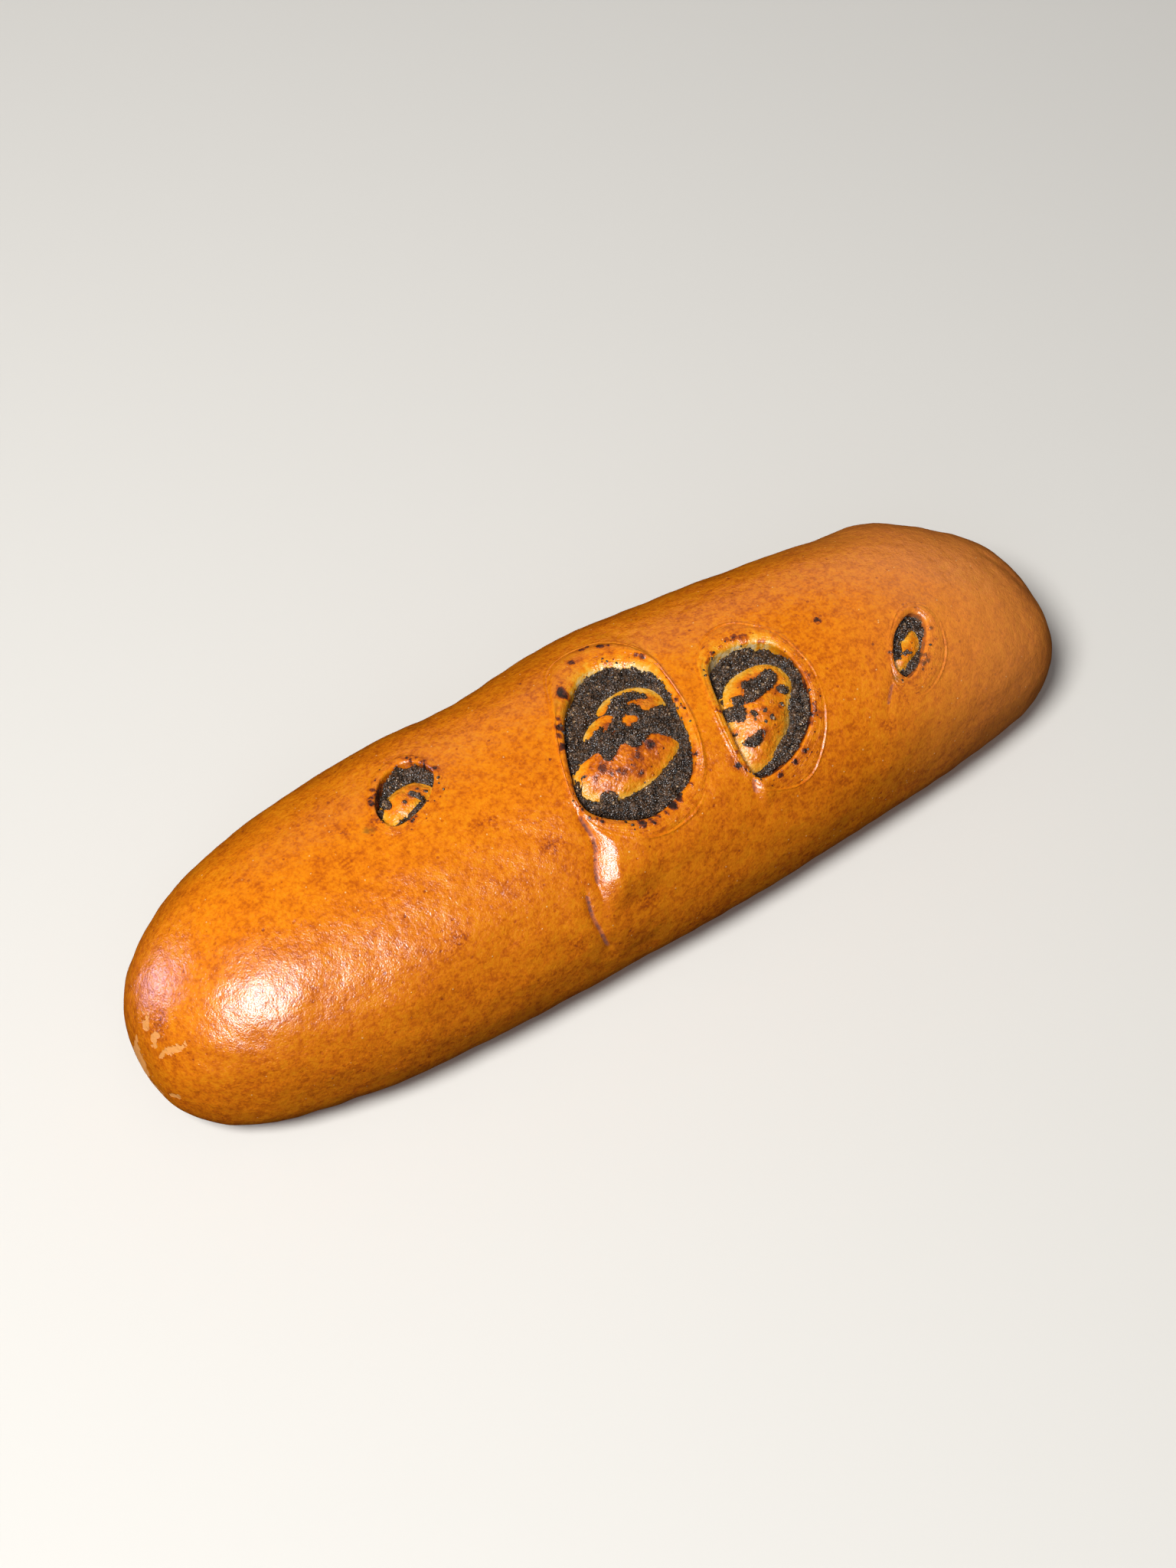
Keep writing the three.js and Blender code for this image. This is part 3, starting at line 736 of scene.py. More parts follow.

# %% [markdown]
# A finish can't tell on its own where the crust burnt or peeled. So the distance from every point
# to the nearest burnt, brown, green or peeled place is worked out here and stored on the points,
# and so is the distance to the folds' valleys, where shade is painted.

# %% Marks that the crust's finish needs
# Spots are rows of (x, s, radius), and the peeled patches are outlines like those of a split.
CHAR_SPOTS = [
    (9.2, -23.7, 0.9), (10.8, -23.8, 0.8), (13.4, -21, 1.1), (15.2, -19.8, 0.6), (4.4, -20.6, 0.9),
    (-3.2, -11.9, 1.5), (-2.6, -13.4, 0.9), (-8.4, -5.8, 0.6), (-9.6, -3.4, 0.9), (-11, -1.2, 0.7),
    (-11.6, 1.6, 0.8), (18.6, -12.2, 0.6), (19.4, -11, 0.7), (6.8, 27.6, 0.8), (4.6, 28.4, 1.0),
    (-4.8, 28.4, 0.9), (-2.4, 28.6, 0.5), (42, -3.3, 0.9), (44, -2, 1.3), (40.2, -3.9, 0.6),
    (37.6, -2.9, 0.6), (35, -2.2, 0.6), (42.4, 31.4, 0.7), (38.8, 33, 0.6), (33.8, 34.4, 0.7),
    (24.4, 27.1, 0.8), (63.6, 2.4, 0.9), (62, 3.8, 0.5), (-59.4, -11.2, 0.6), (-57, -14, 0.7),
]
BROWN_SPOTS = [
    (-28.4, 22.7, 2.2), (-25.4, 22.6, 1.4), (-37.4, 10, 2), (-41.4, 9.1, 1.4), (-58.6, 31.4, 2.6),
    (-31.4, 49.7, 2.4), (-9.6, 48, 3), (-69, -6.7, 1), (-73, 0.8, 1.6), (-37.8, 30, 0.8),
    (67, 35.5, 1.8), (73.4, 29.6, 1.6), (52.8, 9.5, 1.1), (53.4, 15, 1), (24.8, 24.7, 1),
    (-128, 4, 2), (-61.5, -4.3, 1.2),
]
GREEN_SPOTS = [(-64, -4, 0.9), (-62.8, -3.2, 0.5), (73.8, 24.8, 0.9)]
PEELED = [
    [[-129.3, -3.4], [-130.8, -1.4], [-131.6, 1.4], [-130.2, 2.0], [-128.8, -0.6]],
    [[-131.9, 3.2], [-129.6, 3.4], [-128.2, 4.6], [-129.4, 6.2], [-131.6, 6.8]],
    [[-131.8, 7.8], [-129.4, 8.2], [-127.4, 9.8], [-124.8, 12.6], [-125.2, 14.2], [-128.0, 12.8],
     [-129.6, 10.9], [-131.6, 9.6]],
    [[-133, 15.6], [-130.4, 21.6], [-130.8, 23.4], [-133, 18.4]],
]
# All that lies beyond this line at the left tip is peeled too.
PEELED_TIP = [[-129, -6], [-131, -2.8], [-132.8, 1.6], [-133.4, 6.2], [-133, 12], [-131, 22]]

# Small burnt spots in clusters along the torn edges.
rim_draw = np.random.default_rng(17)
for split in SPLITS:
    rim = rim_draw.integers(0, split["points"], split["points"] // 4)
    rim = rim[lumps(split["loop"][rim], 6, seed=18) > 0.1]
    off = rim_draw.uniform(0.1, 1.6, len(rim))
    spots = split["loop"][rim] + split["out"][rim] * off[:, None]
    CHAR_SPOTS += np.c_[spots, rim_draw.uniform(0.15, 0.5, len(rim))].tolist()
print("burnt spots:", len(CHAR_SPOTS))


def crust_marks(x, s):
    """Distances in mm that the crust's finish turns into char, brown spots, bare patches and painted
    shade in the folds.
    """
    spots = np.stack([x, s], -1)
    peeled = np.min([distance_to(spots, smooth_line(patch)) for patch in PEELED], 0)
    t, off = along_and_aside(spots, smooth_line(PEELED_TIP, closed=False))
    beyond_tip = off + 1.0 + FAR_AWAY * (1 - fold_strength(t, (6, 6)))
    to_fold = np.full(len(spots), FAR_AWAY)
    for fold in FOLDS[:2] + FOLDS[3:]:         # the third is a soft bend without a crease
        t, off = along_and_aside(spots, smooth_line(fold["path"], closed=False))
        to_fold = np.minimum(to_fold, np.abs(off) + FAR_AWAY * (1 - fold_strength(t, fold["ends"])))
    return {
        "to_char": distance_to_spots(spots, CHAR_SPOTS),
        "to_brown": distance_to_spots(spots, BROWN_SPOTS),
        "to_green": distance_to_spots(spots, GREEN_SPOTS),
        "to_peeled": np.minimum(peeled, beyond_tip),
        "to_fold": to_fold,
    }

# %% Build the crust
def closeness(place, middle, reach, soft):
    """1 within reach of the middle, dying away softly beyond."""
    return np.exp(-np.maximum(np.abs(place - middle) - reach, 0) / soft)


def crust_station_spacing(x):
    """Closer beside the large fold, and a little closer beside the small ones."""
    small = closeness(x, 27, 3, 2) + closeness(x, 70, 4, 2)
    return 1.35 - 0.85 * np.clip(closeness(x, -19.5, 8, 3) + 0.6 * small, 0, 1)


def crust_column_spacing(s):
    """Closer on the near side, where the folds are, and looser on the base."""
    near_side = ease((s - 8) / 8) * ease((68 - s) / 6)
    return 1.25 - 0.5 * near_side + 0.9 * ease((np.abs(s) - 60) / 15)


def raised(x, angle):
    """Points of the crust's outside with its relief."""
    plain = roll_point(x, angle)
    return plain + outward(x, angle) * relief(x, walk_of(x, angle), plain)[:, None]


crust = Skin()
grid_skin(crust, stations(crust_station_spacing), columns(crust_column_spacing),
          [split["rings"][0] for split in SPLITS], margin=1.0, shape=raised,
          tips=roll_point(TIPS, 0), marks=crust_marks)

# %% [markdown]
# The rings of a split start on the relief of the crust and leave it gradually, so that the
# collar stays joined to the skin round it. The wall ends exactly on the inside of the crust.

# %% Collars, walls and the inside of the crust
FULL_RELIEF = 1.5              # mm from the torn edge where the crust's whole relief begins
LAYER_STEP = 5.0               # mm between the points of a layer that is hidden

inner_loops = []
for split in SPLITS:
    rings, depths, offsets = split["rings"], split["depths"], split["offsets"]
    count = rings.shape[1]
    x, s = rings.reshape(-1, 2).T
    angle = angle_of(x, s)
    plain = roll_point(x, angle)
    height = relief(x, s, plain) * ease(offsets / FULL_RELIEF).ravel() - depths.ravel()
    points = plain + outward(x, angle) * height[:, None]
    foot, points[-count:] = sunk_ring(rings[-1], CRUST, END_CRUST)
    inner_loops.append(foot)
    split["collar_points"] = points.reshape(len(rings), count, 3)
    marks = crust_marks(x, s)
    turn = np.tile(np.arange(count) * 2 * math.pi / count, len(rings))
    marks["collar_across"] = offsets.ravel()
    marks["collar_width"] = np.tile(split["width"], len(rings))
    marks["collar_turn_x"], marks["collar_turn_y"] = np.cos(turn), np.sin(turn)
    # A depth is noted as FAR_AWAY less the depth, because points without the mark get FAR_AWAY.
    marks["wall_depth"] = FAR_AWAY - np.where(offsets < split["lip"][0], depths, -1).ravel()
    marks["openness"] = np.tile(split["openness"] * split["pale"], len(rings))
    crust.add(points, strip(len(rings), count), marks)


def plain_layer(skin, loops, depth, end_depth):
    """Adds a plain layer of the roll to a skin, joined to the loops in its openings."""
    def even(place):
        return np.full_like(place, LAYER_STEP)

    def layer_point(x, angle):
        return shrunk(roll_point(x, angle), depth, end_depth)

    grid_skin(skin, stations(even), columns(even), loops, margin=LAYER_STEP * 0.72,
              shape=layer_point, tips=layer_point(TIPS, 0), marks=lambda x, s: None)


plain_layer(crust, inner_loops, CRUST, END_CRUST)
crust_piece = crust.weld("crust")
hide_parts("outer_dough")
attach(crust_piece, "root")

# %% [markdown]
# ## The mounds of inner dough
#
# As the loaf baked, the soft inner dough pushed up through each split and browned there. The
# whole inner layer is one closed skin: the plain roll, a layer's depth smaller, with a dome
# pushed up at each split. The dome's height follows from how far a place is from the mound's
# middle, as a share of the way to its foot.

# %% Domes
INNER_DEPTH, INNER_END = CRUST + FILLING + GAP, 13.8
FOOT_DEPTH = 3.1               # where a mound's foot meets the filling
FOOT_SLOPE = 1.7               # how steeply a mound's flank goes on below the filling
DOME_RINGS, FLANK = 22, (0.35, 0.8, 1.4, 2.2, 3.2, 4.4)
DOME_LUMPS = [(0.24, 6, 11), (0.06, 1.6, 12)]    # height, size, seed


def polar(points, middle):
    """The turn and the radius of each point, seen from the middle."""
    away = points - middle
    return np.arctan2(away[:, 1], away[:, 0]), np.hypot(away[:, 0], away[:, 1])


def reach_of(outline, middle, turn):
    """How far an outline is from its middle, in the direction of each turn."""
    angle, radius = polar(outline, middle)
    order = np.argsort(angle)
    return np.interp(turn, angle[order], radius[order], period=2 * math.pi)


def dome_depth(split, places):
    """How deep the inner dough's skin lies under the crust at [x, s]."""
    turn, radius = polar(places, split["mound_middle"])
    reach = reach_of(split["mound_line"], split["mound_middle"], turn)
    share = np.clip(radius / reach, 0, 1)
    dome = split["crown"] + (FOOT_DEPTH - split["crown"]) * share ** 2
    for high, size, seed in DOME_LUMPS:
        dome = dome - high * flat_lumps(places, size, seed)
    return np.minimum(dome + np.maximum(radius - reach, 0) * FOOT_SLOPE, INNER_DEPTH)


def to_bare(split, places):
    """Millimetres to the bare dough of a mound, negative on it."""
    bare = np.min([distance_to(places, smooth_line(patch)) for patch in split["bare"]], 0)
    smears = [distance_to(places, smooth_line(smear)) for smear in split["smears"]]
    smears.append(distance_to_spots(places, split["crumbs"]))
    return np.maximum(bare, -np.min(smears, 0))


inner = Skin()
inner_loops = []
for split in SPLITS:
    split["mound_line"] = smooth_line(split["mound"])
    split["mound_middle"] = split["mound_line"].mean(0)
    count = split["points"]
    turn = np.arange(count) * 2 * math.pi / count
    way = np.stack([np.cos(turn), np.sin(turn)], -1)
    reach = reach_of(split["mound_line"], split["mound_middle"], turn)
    rings = [way * (reach * share)[:, None] for share in np.linspace(0, 1, DOME_RINGS)]
    rings += [way * (reach + out)[:, None] for out in FLANK]
    rings = np.array(rings) + split["mound_middle"]
    places = rings.reshape(-1, 2)
    points = place(places[:, 0], places[:, 1], dome_depth(split, places))
    foot, points[-count:] = sunk_ring(rings[-1], INNER_DEPTH, INNER_END)
    inner_loops.append(foot)
    marks = {
        "to_foot": distance_to(places, split["mound_line"]),
        "to_char": distance_to_spots(places, split["char"]),
        "to_filling": -to_bare(split, places),
    }
    if "toast" in split:
        marks["to_toast"] = distance_to(places, smooth_line(split["toast"]))
    inner.add(points, strip(len(rings), count), marks)


plain_layer(inner, inner_loops, INNER_DEPTH, INNER_END)
inner_piece = inner.weld("inner_dough")
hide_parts("inner_dough")
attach(inner_piece, "root")

# %% [markdown]
# ## The poppy seed filling
#
# The filling is a layer between crust and inner dough. In a split it heaps up round the mound,
# and some of it was dragged over the mound's top. So it needs an upper and a lower skin over the
# same places: the lower one rests on the inner dough, the upper one is lumpy and lies a little
# below the torn edge. Where the dough stands bare, the filling has a hole, and the hole's edge is
# tucked just under the dough's skin, so that no gap shows.

# %% The filling's upper and lower skins
FILLING_TOP, FILLING_END, FILLING_FOOT = CRUST + GAP, END_CRUST + GAP, CRUST + FILLING
FILLING_STEP = 0.5             # mm between the rings of the filling in a split
UNDER_LIP = 1.7                # how far under the crust the filling of a split starts
SMEAR, TUCK = 0.9, 0.35        # how thick it is on the dough, and how far its rim dips under
SHADED_DROP = 2.2              # how much deeper the filling lies along the overhanging edge


def clumps(places):
    """0 in the creases between the filling's clumps, about 1 on top of them."""
    return np.sqrt(np.abs(flat_lumps(places, 2.8, seed=22)))


def filling_depth(split, places, inside_by, shaded, heaped):
    """How deep the filling's upper skin lies, from how far inside the torn edge a place is."""
    level = split["level"] + SHADED_DROP * shaded * ease(1 - inside_by / 3)
    level = level - split["heap"] * heaped * ease(1 - inside_by / 5)
    rough = 0.45 * flat_lumps(places, 4.5, seed=21) + 0.16 * flat_lumps(places, 1.1, seed=23)
    rough = np.minimum(rough + 1.7 * clumps(places) - 1.3, 0.75)
    mound = distance_to(places, split["mound_line"])
    level = level - 0.7 * np.exp(-(np.maximum(mound, 0) / 2) ** 2)
    dome, bare = dome_depth(split, places), to_bare(split, places)
    covered = np.clip(bare * 0.95, -TUCK, SMEAR)
    covered = np.where(covered > 0, covered + rough * 0.7 * ease(covered / 0.5), covered)
    on_mound = ease((0.7 - mound) / 1.4)
    top = (dome - covered) * on_mound + (level - rough) * (1 - on_mound)
    top = np.where(bare < 0, np.maximum(top, dome + np.minimum(-bare * 0.95, TUCK)), top)
    return FILLING_TOP + (top - FILLING_TOP) * ease((inside_by + 0.8) / 0.95), dome


def without_touching_corners(hole):
    """Closes a hole's cells where two of them meet only at a corner, which would share an edge."""
    for _ in range(4):
        for way in (-1, 1):
            aside = np.roll(hole, way, 1)
            hole[:-1] &= ~(hole[:-1] & aside[1:] & ~hole[1:] & ~aside[:-1])
    return hole.ravel()


filling = Skin()
top_loops, foot_loops = [], []
for split in SPLITS:
    out, count, middle = split["out"], split["points"], split["middle"]
    start = split["loop"] + out * UNDER_LIP
    steps = int(np.linalg.norm(start - middle, axis=1).max() / FILLING_STEP)
    rings = np.array([middle + (start - middle) * share for share in np.linspace(1, 0, steps)])
    places = rings.reshape(-1, 2)
    inside_by = -distance_to(places, smooth_line(split["edge"]))
    shaded = np.tile(ease(-out[:, 0] * 1.2), len(rings))
    heaped = np.tile(split["openness"] ** 2, len(rings))
    top, dome = filling_depth(split, places, inside_by, shaded, heaped)
    under = np.maximum(np.minimum(FILLING_FOOT, dome - 0.03), top + 0.06)
    top_points, under_points = place(*places.T, top), place(*places.T, under)
    top_loop, top_points[:count] = sunk_ring(start, FILLING_TOP, FILLING_END)
    foot_loop, under_points[:count] = sunk_ring(start, FILLING_FOOT, INNER_END - GAP)
    top_loops.append(top_loop)
    foot_loops.append(foot_loop)

    # Cells that lie well under the dough's skin are left out, and walls close the rim of that hole.
    buried = (top > dome + TUCK * 0.6).reshape(len(rings), count)
    buried = buried & np.roll(buried, -1, 1)
    kept = strip(len(rings), count)[~without_touching_corners(buried[:-1] & buried[1:])]
    sides = np.sort(np.vstack([kept[:, [a, (a + 1) % 4]] for a in range(4)]), axis=1)
    sides, uses = np.unique(sides, axis=0, return_counts=True)
    rim = sides[(uses == 1) & (sides.max(1) >= count) & (sides.max(1) < len(places) - count)]
    walls = np.c_[rim, rim[:, ::-1] + len(places)]
    # Painted shade: the paste is darkened in the creases between clumps and along the overhanging
    # left edge.
    painted_clump_shade = 0.8 * ease(1 - clumps(places) / 0.6)
    gap = np.maximum(shaded * ease(1 - inside_by / 3), painted_clump_shade)
    filling.add(np.vstack([top_points, under_points]),
                np.vstack([kept, kept + len(places), walls]), {"to_gap": np.tile(FAR_AWAY - gap, 2)})
    split["filling"] = {"points": top_points, "cells": kept, "inside": inside_by,
                        "proud": dome - top, "clump": clumps(places)}

plain_layer(filling, top_loops, FILLING_TOP, FILLING_END)
plain_layer(filling, foot_loops, FILLING_FOOT, INNER_END - GAP)
filling_piece = filling.weld("poppy_filling")
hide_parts("poppy_filling")
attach(filling_piece, "root")

# %% [markdown]
# ## Poppy seeds
#
# A poppy seed is a dark grey kidney about a millimetre long. Thousands of them could be scattered
# by a particle system, but that would be lost when the model leaves Blender. Here one small
# kidney is modelled, and its points are copied, turned and sunk into the filling wherever a
# random draw with a fixed seed says so. All of them form one mesh.

# %% Model one seed
SEED_LENGTH = 0.88
SEED_SIDES, SEED_RINGS = 6, 3


def seed_shape():
    """A kidney round the origin: a stretched ball, pressed in on one side."""
    points = [(1.0, 0, 0)]
    for ring in range(1, SEED_RINGS + 1):
        polar_angle = math.pi * ring / (SEED_RINGS + 1)
        for side in range(SEED_SIDES):
            turn = 2 * math.pi * side / SEED_SIDES
            points.append((math.cos(polar_angle), math.sin(polar_angle) * math.cos(turn),
                           math.sin(polar_angle) * math.sin(turn)))
    points.append((-1.0, 0, 0))
    points = np.array(points) * [0.5, 0.41, 0.39]
    pressed = np.exp(-(points[:, 0] / 0.2) ** 2) * (points[:, 1] > 0.1)
    points[:, 1] -= 0.13 * pressed + 0.5 * points[:, 0] ** 2
    faces = []
    for side in range(SEED_SIDES):
        following = (side + 1) % SEED_SIDES
        faces.append((0, 1 + side, 1 + following))
        for ring in range(SEED_RINGS - 1):
            a, b = 1 + ring * SEED_SIDES + side, 1 + ring * SEED_SIDES + following
            faces.append((a, a + SEED_SIDES, b + SEED_SIDES))
            faces.append((a, b + SEED_SIDES, b))
        last = 1 + (SEED_RINGS - 1) * SEED_SIDES
        faces.append((last + side, len(points) - 1, last + following))
    return points * SEED_LENGTH, np.array(faces)


seed_points, seed_faces = seed_shape()
print("one seed: %d triangles" % len(seed_faces))

# %% Scatter the seeds
SEED_SPACING = 0.5
SEED_TRIES = 12                # for each square millimetre of a split
LOOSE_TRIES = 78               # on the rolled edge of a split with 230 points
MOST_SEEDS = 5400
draw = np.random.default_rng(7)


def scatter(part, room, count, spacing):
    """Random spots on the filling, no two nearer than the spacing, each with its outward way."""
    cells = part["cells"]
    corner = part["points"][cells]
    normal = np.cross(corner[:, 2] - corner[:, 0], corner[:, 3] - corner[:, 1])
    area = np.linalg.norm(normal, axis=1) / 2
    area = area * (room[cells].min(1) > 0)
    chosen = draw.choice(len(cells), size=count, p=area / area.sum())
    u, v = draw.random((2, count, 1))
    c = corner[chosen]
    spots = (c[:, 0] * (1 - u) + c[:, 1] * u) * (1 - v) + (c[:, 3] * (1 - u) + c[:, 2] * u) * v
    normal = normal[chosen] / np.linalg.norm(normal[chosen], axis=1, keepdims=True)
    normal *= np.sign(normal[:, 2:])
    taken, kept = {}, []
    for k, spot in enumerate(spots):
        cell = tuple((spot // spacing).astype(int))
        around = [taken[n] for n in (
            (cell[0] + i, cell[1] + j, cell[2] + h)
            for i in (-1, 0, 1) for j in (-1, 0, 1) for h in (-1, 0, 1)) if n in taken]
        if cell not in taken and all(np.linalg.norm(spot - spots[o]) > spacing for o in around):
            taken[cell] = k
            kept.append(k)
    return spots[kept], normal[kept], part["clump"][cells[chosen[kept]]].mean(1)


def turned(count):
    """Random turns as rotation matrices."""
    q = draw.normal(size=(count, 4))
    w, x, y, z = (q / np.linalg.norm(q, axis=1, keepdims=True)).T
    return np.stack([
        1 - 2 * (y * y + z * z), 2 * (x * y - z * w), 2 * (x * z + y * w),
        2 * (x * y + z * w), 1 - 2 * (x * x + z * z), 2 * (y * z - x * w),
        2 * (x * z - y * w), 2 * (y * z + x * w), 1 - 2 * (x * x + y * y),
    ], -1).reshape(-1, 3, 3)


spots, normals, high = [], [], []
for split in SPLITS:
    part = split["filling"]
    room = np.minimum(part["inside"] + 0.6, part["proud"] - 0.05)
    tries = int(SEED_TRIES * np.prod(np.ptp(split["loop"], axis=0)))
    found, facing, clump = scatter(part, room, tries, SEED_SPACING)
    spots.append(found)
    normals.append(facing)
    high.append(clump)
    print("seeds in the split at x %.0f: %d" % (split["middle"][0], len(found)))
    # A few loose ones lie in clusters on the rolled edge.
    rows = np.flatnonzero(np.abs(split["offsets"].mean(1) - 0.6) < 1.6)
    loose = draw.choice(rows, LOOSE_TRIES * split["points"] // 230)
    at = draw.integers(0, split["points"], len(loose))
    clumped = lumps(split["collar_points"][loose, at], 5, seed=41) > 0.35
    loose, at = loose[clumped], at[clumped]
    spots.append(split["collar_points"][loose, at] + draw.normal(size=(len(at), 3)) * 0.15)
    x, s = split["rings"][loose, at].T
    normals.append(outward(x, angle_of(x, s)))
    high.append(np.full(len(at), 0.4))
spots, normals, high = np.vstack(spots), np.vstack(normals), np.concatenate(high)
keep = np.sort(draw.permutation(len(spots))[:MOST_SEEDS])
spots, normals, high = spots[keep], normals[keep], high[keep]
size = draw.uniform(0.75, 1.12, (len(spots), 1, 1))
stand = draw.uniform(-0.2, 0.3, (len(spots), 1)) + 0.12 * (high[:, None] - 0.5)
scattered = (seed_points[None] * size) @ turned(len(spots)).transpose(0, 2, 1)
scattered += (spots + normals * stand)[:, None]
# A random tone for each seed, with painted shade darkening the seeds in the creases between clumps.
shade = draw.random(len(spots)) * (0.25 + 0.75 * ease(high / 0.9))
wet = draw.random(len(spots))
seeds = Skin()
offsets = (np.arange(len(spots)) * len(seed_points))[:, None, None]
seeds.add(scattered, (seed_faces[None] + offsets).reshape(-1, 3),
          {"shade": np.repeat(shade, len(seed_points)), "wet": np.repeat(wet, len(seed_points))})
seeds_piece = seeds.weld("poppy_seeds")
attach(seeds_piece, "root")

# %% [markdown]
# ## Finishes
#
# Dough, crust and char are one substance at different stages of baking: cream when raw, then
# yellow, golden, orange, brown and black. So all the dough here shares one colour scale, and each
# finish only works out how far a place has browned. The marks that were stored on the points say
# how far a place is from a split, a spot or a burnt crumb, and noise makes their edges ragged.
#
# Such a sum of twenty terms takes forty Math nodes. To keep it readable, a node's output is
# wrapped in a small class first, so that it adds and multiplies like a number.

# %% A short hand for nodes
class Output:
    """A node's output that can be added and multiplied like a number."""

    def __init__(self, tree, socket):
        self.tree, self.socket = tree, socket

    def __add__(self, other):
        return maths("ADD", self, other)

    def __sub__(self, other):
        return maths("SUBTRACT", self, other)

    def __rsub__(self, other):
        return maths("SUBTRACT", other, self)

    def __mul__(self, other):
        return maths("MULTIPLY", self, other)

    __radd__, __rmul__ = __add__, __mul__

    def beside(self, name):
        """Another output of the same node."""
        return Output(self.tree, self.socket.node.outputs[name])


def plug(socket, value):
    """Feeds a socket a plain value or the output of another node."""
    if isinstance(value, Output):
        value.tree.links.new(value.socket, socket)
    else:
        socket.default_value = value


def add(tree, kind, inputs, output=0, **settings):
    """Adds a node and gives back one of its outputs."""
    node = tree.nodes.new("ShaderNode" + kind)
    for name, value in settings.items():
        setattr(node, name, value)
    for name, value in inputs.items():
        plug(node.inputs[name], value)
    return Output(tree, node.outputs[output])


def maths(operation, first, second):
    tree = (first if isinstance(first, Output) else second).tree
    return add(tree, "Math", {0: first, 1: second}, operation=operation)


def fade(value, start, end):
    """0 at start and before it, 1 at end and beyond, smooth between."""
    return add(value.tree, "MapRange", {"Value": value, "From Min": start, "From Max": end},
               interpolation_type="SMOOTHSTEP")


def blend(share, first, second):
    """A colour on the way from the first to the second."""
    first, second = (c if isinstance(c, Output) else (*c, 1) for c in (first, second))
    return add(share.tree, "Mix", {0: share, 6: first, 7: second}, output=2, data_type="RGBA")


def mark(here, name):
    """A mark that was stored on the points."""
    return add(here.tree, "Attribute", {}, "Fac", attribute_name=name)


def new_group(name, inputs, output, kind="Float"):
    """An empty node group. inputs: name to default. It comes with its inputs and its result."""
    group = bpy.data.node_groups.new(name, "ShaderNodeTree")
    for label, value in inputs.items():
        sort = "Vector" if isinstance(value, tuple) else "Float"
        socket = group.interface.new_socket(label, in_out="INPUT", socket_type="NodeSocket" + sort)
        socket.default_value = value
    group.interface.new_socket(output, in_out="OUTPUT", socket_type="NodeSocket" + kind)
    into = group.nodes.new("NodeGroupInput").outputs
    result = group.nodes.new("NodeGroupOutput").inputs[0]
    return group, {label: Output(group, into[label]) for label in inputs}, result


def use(group, first, **others):
    """Uses a group: its first input, then the others by name."""
    node = first.tree.nodes.new("ShaderNodeGroup")
    node.node_tree = group
    plug(node.inputs[0], first)
    for name, value in others.items():
        plug(node.inputs[name], value)
    return Output(first.tree, node.outputs[0])

# %% The colour scale of baking
BAKING = [
    (0.00, (0.88, 0.72, 0.46)),        # raw, cream
    (0.14, (0.86, 0.54, 0.15)),        # pale yellow
    (0.30, (0.85, 0.39, 0.022)),       # golden
    (0.46, (0.84, 0.270, 0.004)),      # bright orange
    (0.58, (0.76, 0.195, 0.002)),      # the crust's own orange
    (0.72, (0.50, 0.098, 0.002)),      # deep orange
    (0.86, (0.17, 0.036, 0.014)),      # red brown
    (1.00, (0.030, 0.014, 0.011)),     # burnt
]

baked_colour, into, result = new_group("baked_colour", {"Browning": 0.6}, "Color", kind="Color")
ramp = add(baked_colour, "ValToRGB", {0: into["Browning"]})
stops = ramp.socket.node.color_ramp.elements
while len(stops) < len(BAKING):
    stops.new(0.5)
for stop, (position, colour) in zip(stops, BAKING):
    stop.position = position
    stop.color = (*colour, 1)
plug(result, ramp)
print("baking scale: %d colours" % len(stops))

# %% [markdown]
# Three small groups make all the patterns. Blotches are soft patches of noise. A ragged mark is a
# stored distance whose rim the noise has moved to and fro. Specks are the middles of scattered
# cells, of which only a share is chosen. All their sizes are in millimetres.

# %% Blotches, ragged marks and specks
ORIGIN = (0, 0, 0)


def per_metre(size):
    """How many sizes in mm make a metre, which is the scale that a texture wants."""
    return maths("DIVIDE", 1 / MM, size)


blotches, into, result = new_group(
    "blotches", {"Place": ORIGIN, "Size": 5, "Low": 0.4, "High": 0.6, "Detail": 2}, "Mask")
noise = add(blotches, "TexNoise", {
    "Vector": into["Place"], "Scale": per_metre(into["Size"]), "Detail": into["Detail"]})
plug(result, fade(noise, into["Low"], into["High"]))

ragged, into, result = new_group("ragged_mark", {
    "Place": ORIGIN, "Distance": FAR_AWAY, "Softness": 0.3, "Raggedness": 1, "Grain": 0.8}, "Mask")
noise = add(ragged, "TexNoise", {
    "Vector": into["Place"], "Scale": per_metre(into["Grain"]), "Detail": 2})
moved = into["Distance"] + (noise - 0.5) * into["Raggedness"]
plug(result, fade(moved, into["Softness"], into["Softness"] * -1))

specks, into, result = new_group(
    "specks", {"Place": ORIGIN, "Spacing": 3, "Radius": 0.3, "Share": 0.5}, "Mask")
away = add(specks, "TexVoronoi", {"Vector": into["Place"], "Scale": per_metre(into["Spacing"])})
inside = fade(away * into["Spacing"], into["Radius"] * 1.5, into["Radius"])
chance = add(specks, "SeparateColor", {0: away.beside("Color")})
plug(result, inside * maths("LESS_THAN", chance, into["Share"]))
print("patterns:", blotches.name, ragged.name, specks.name)

# %% [markdown]
# Egg wash dries into a glossy skin that is never quite flat: it has pebbles of about a
# millimetre, with narrow furrows between them. One group makes that height for every baked
# surface, with the pebbles' size and strength as inputs. The gloss is the shader's plain one and
# not a coat over it, because only the plain one follows the pebbles and breaks up into sparkles.

# %% The pebbled skin
pebbled, into, result = new_group(
    "pebbled_skin", {"Place": ORIGIN, "Pebble": 1.1, "Strength": 1}, "Height")
scale = per_metre(into["Pebble"])
pebble = add(pebbled, "TexNoise", {
    "Vector": into["Place"], "Scale": scale, "Detail": 3, "Roughness": 0.6})
away = add(pebbled, "TexVoronoi", {"Vector": into["Place"], "Scale": scale})
plug(result, (pebble + away * away * -0.6) * into["Strength"])
print("pebbled skin: %d nodes" % len(pebbled.nodes))


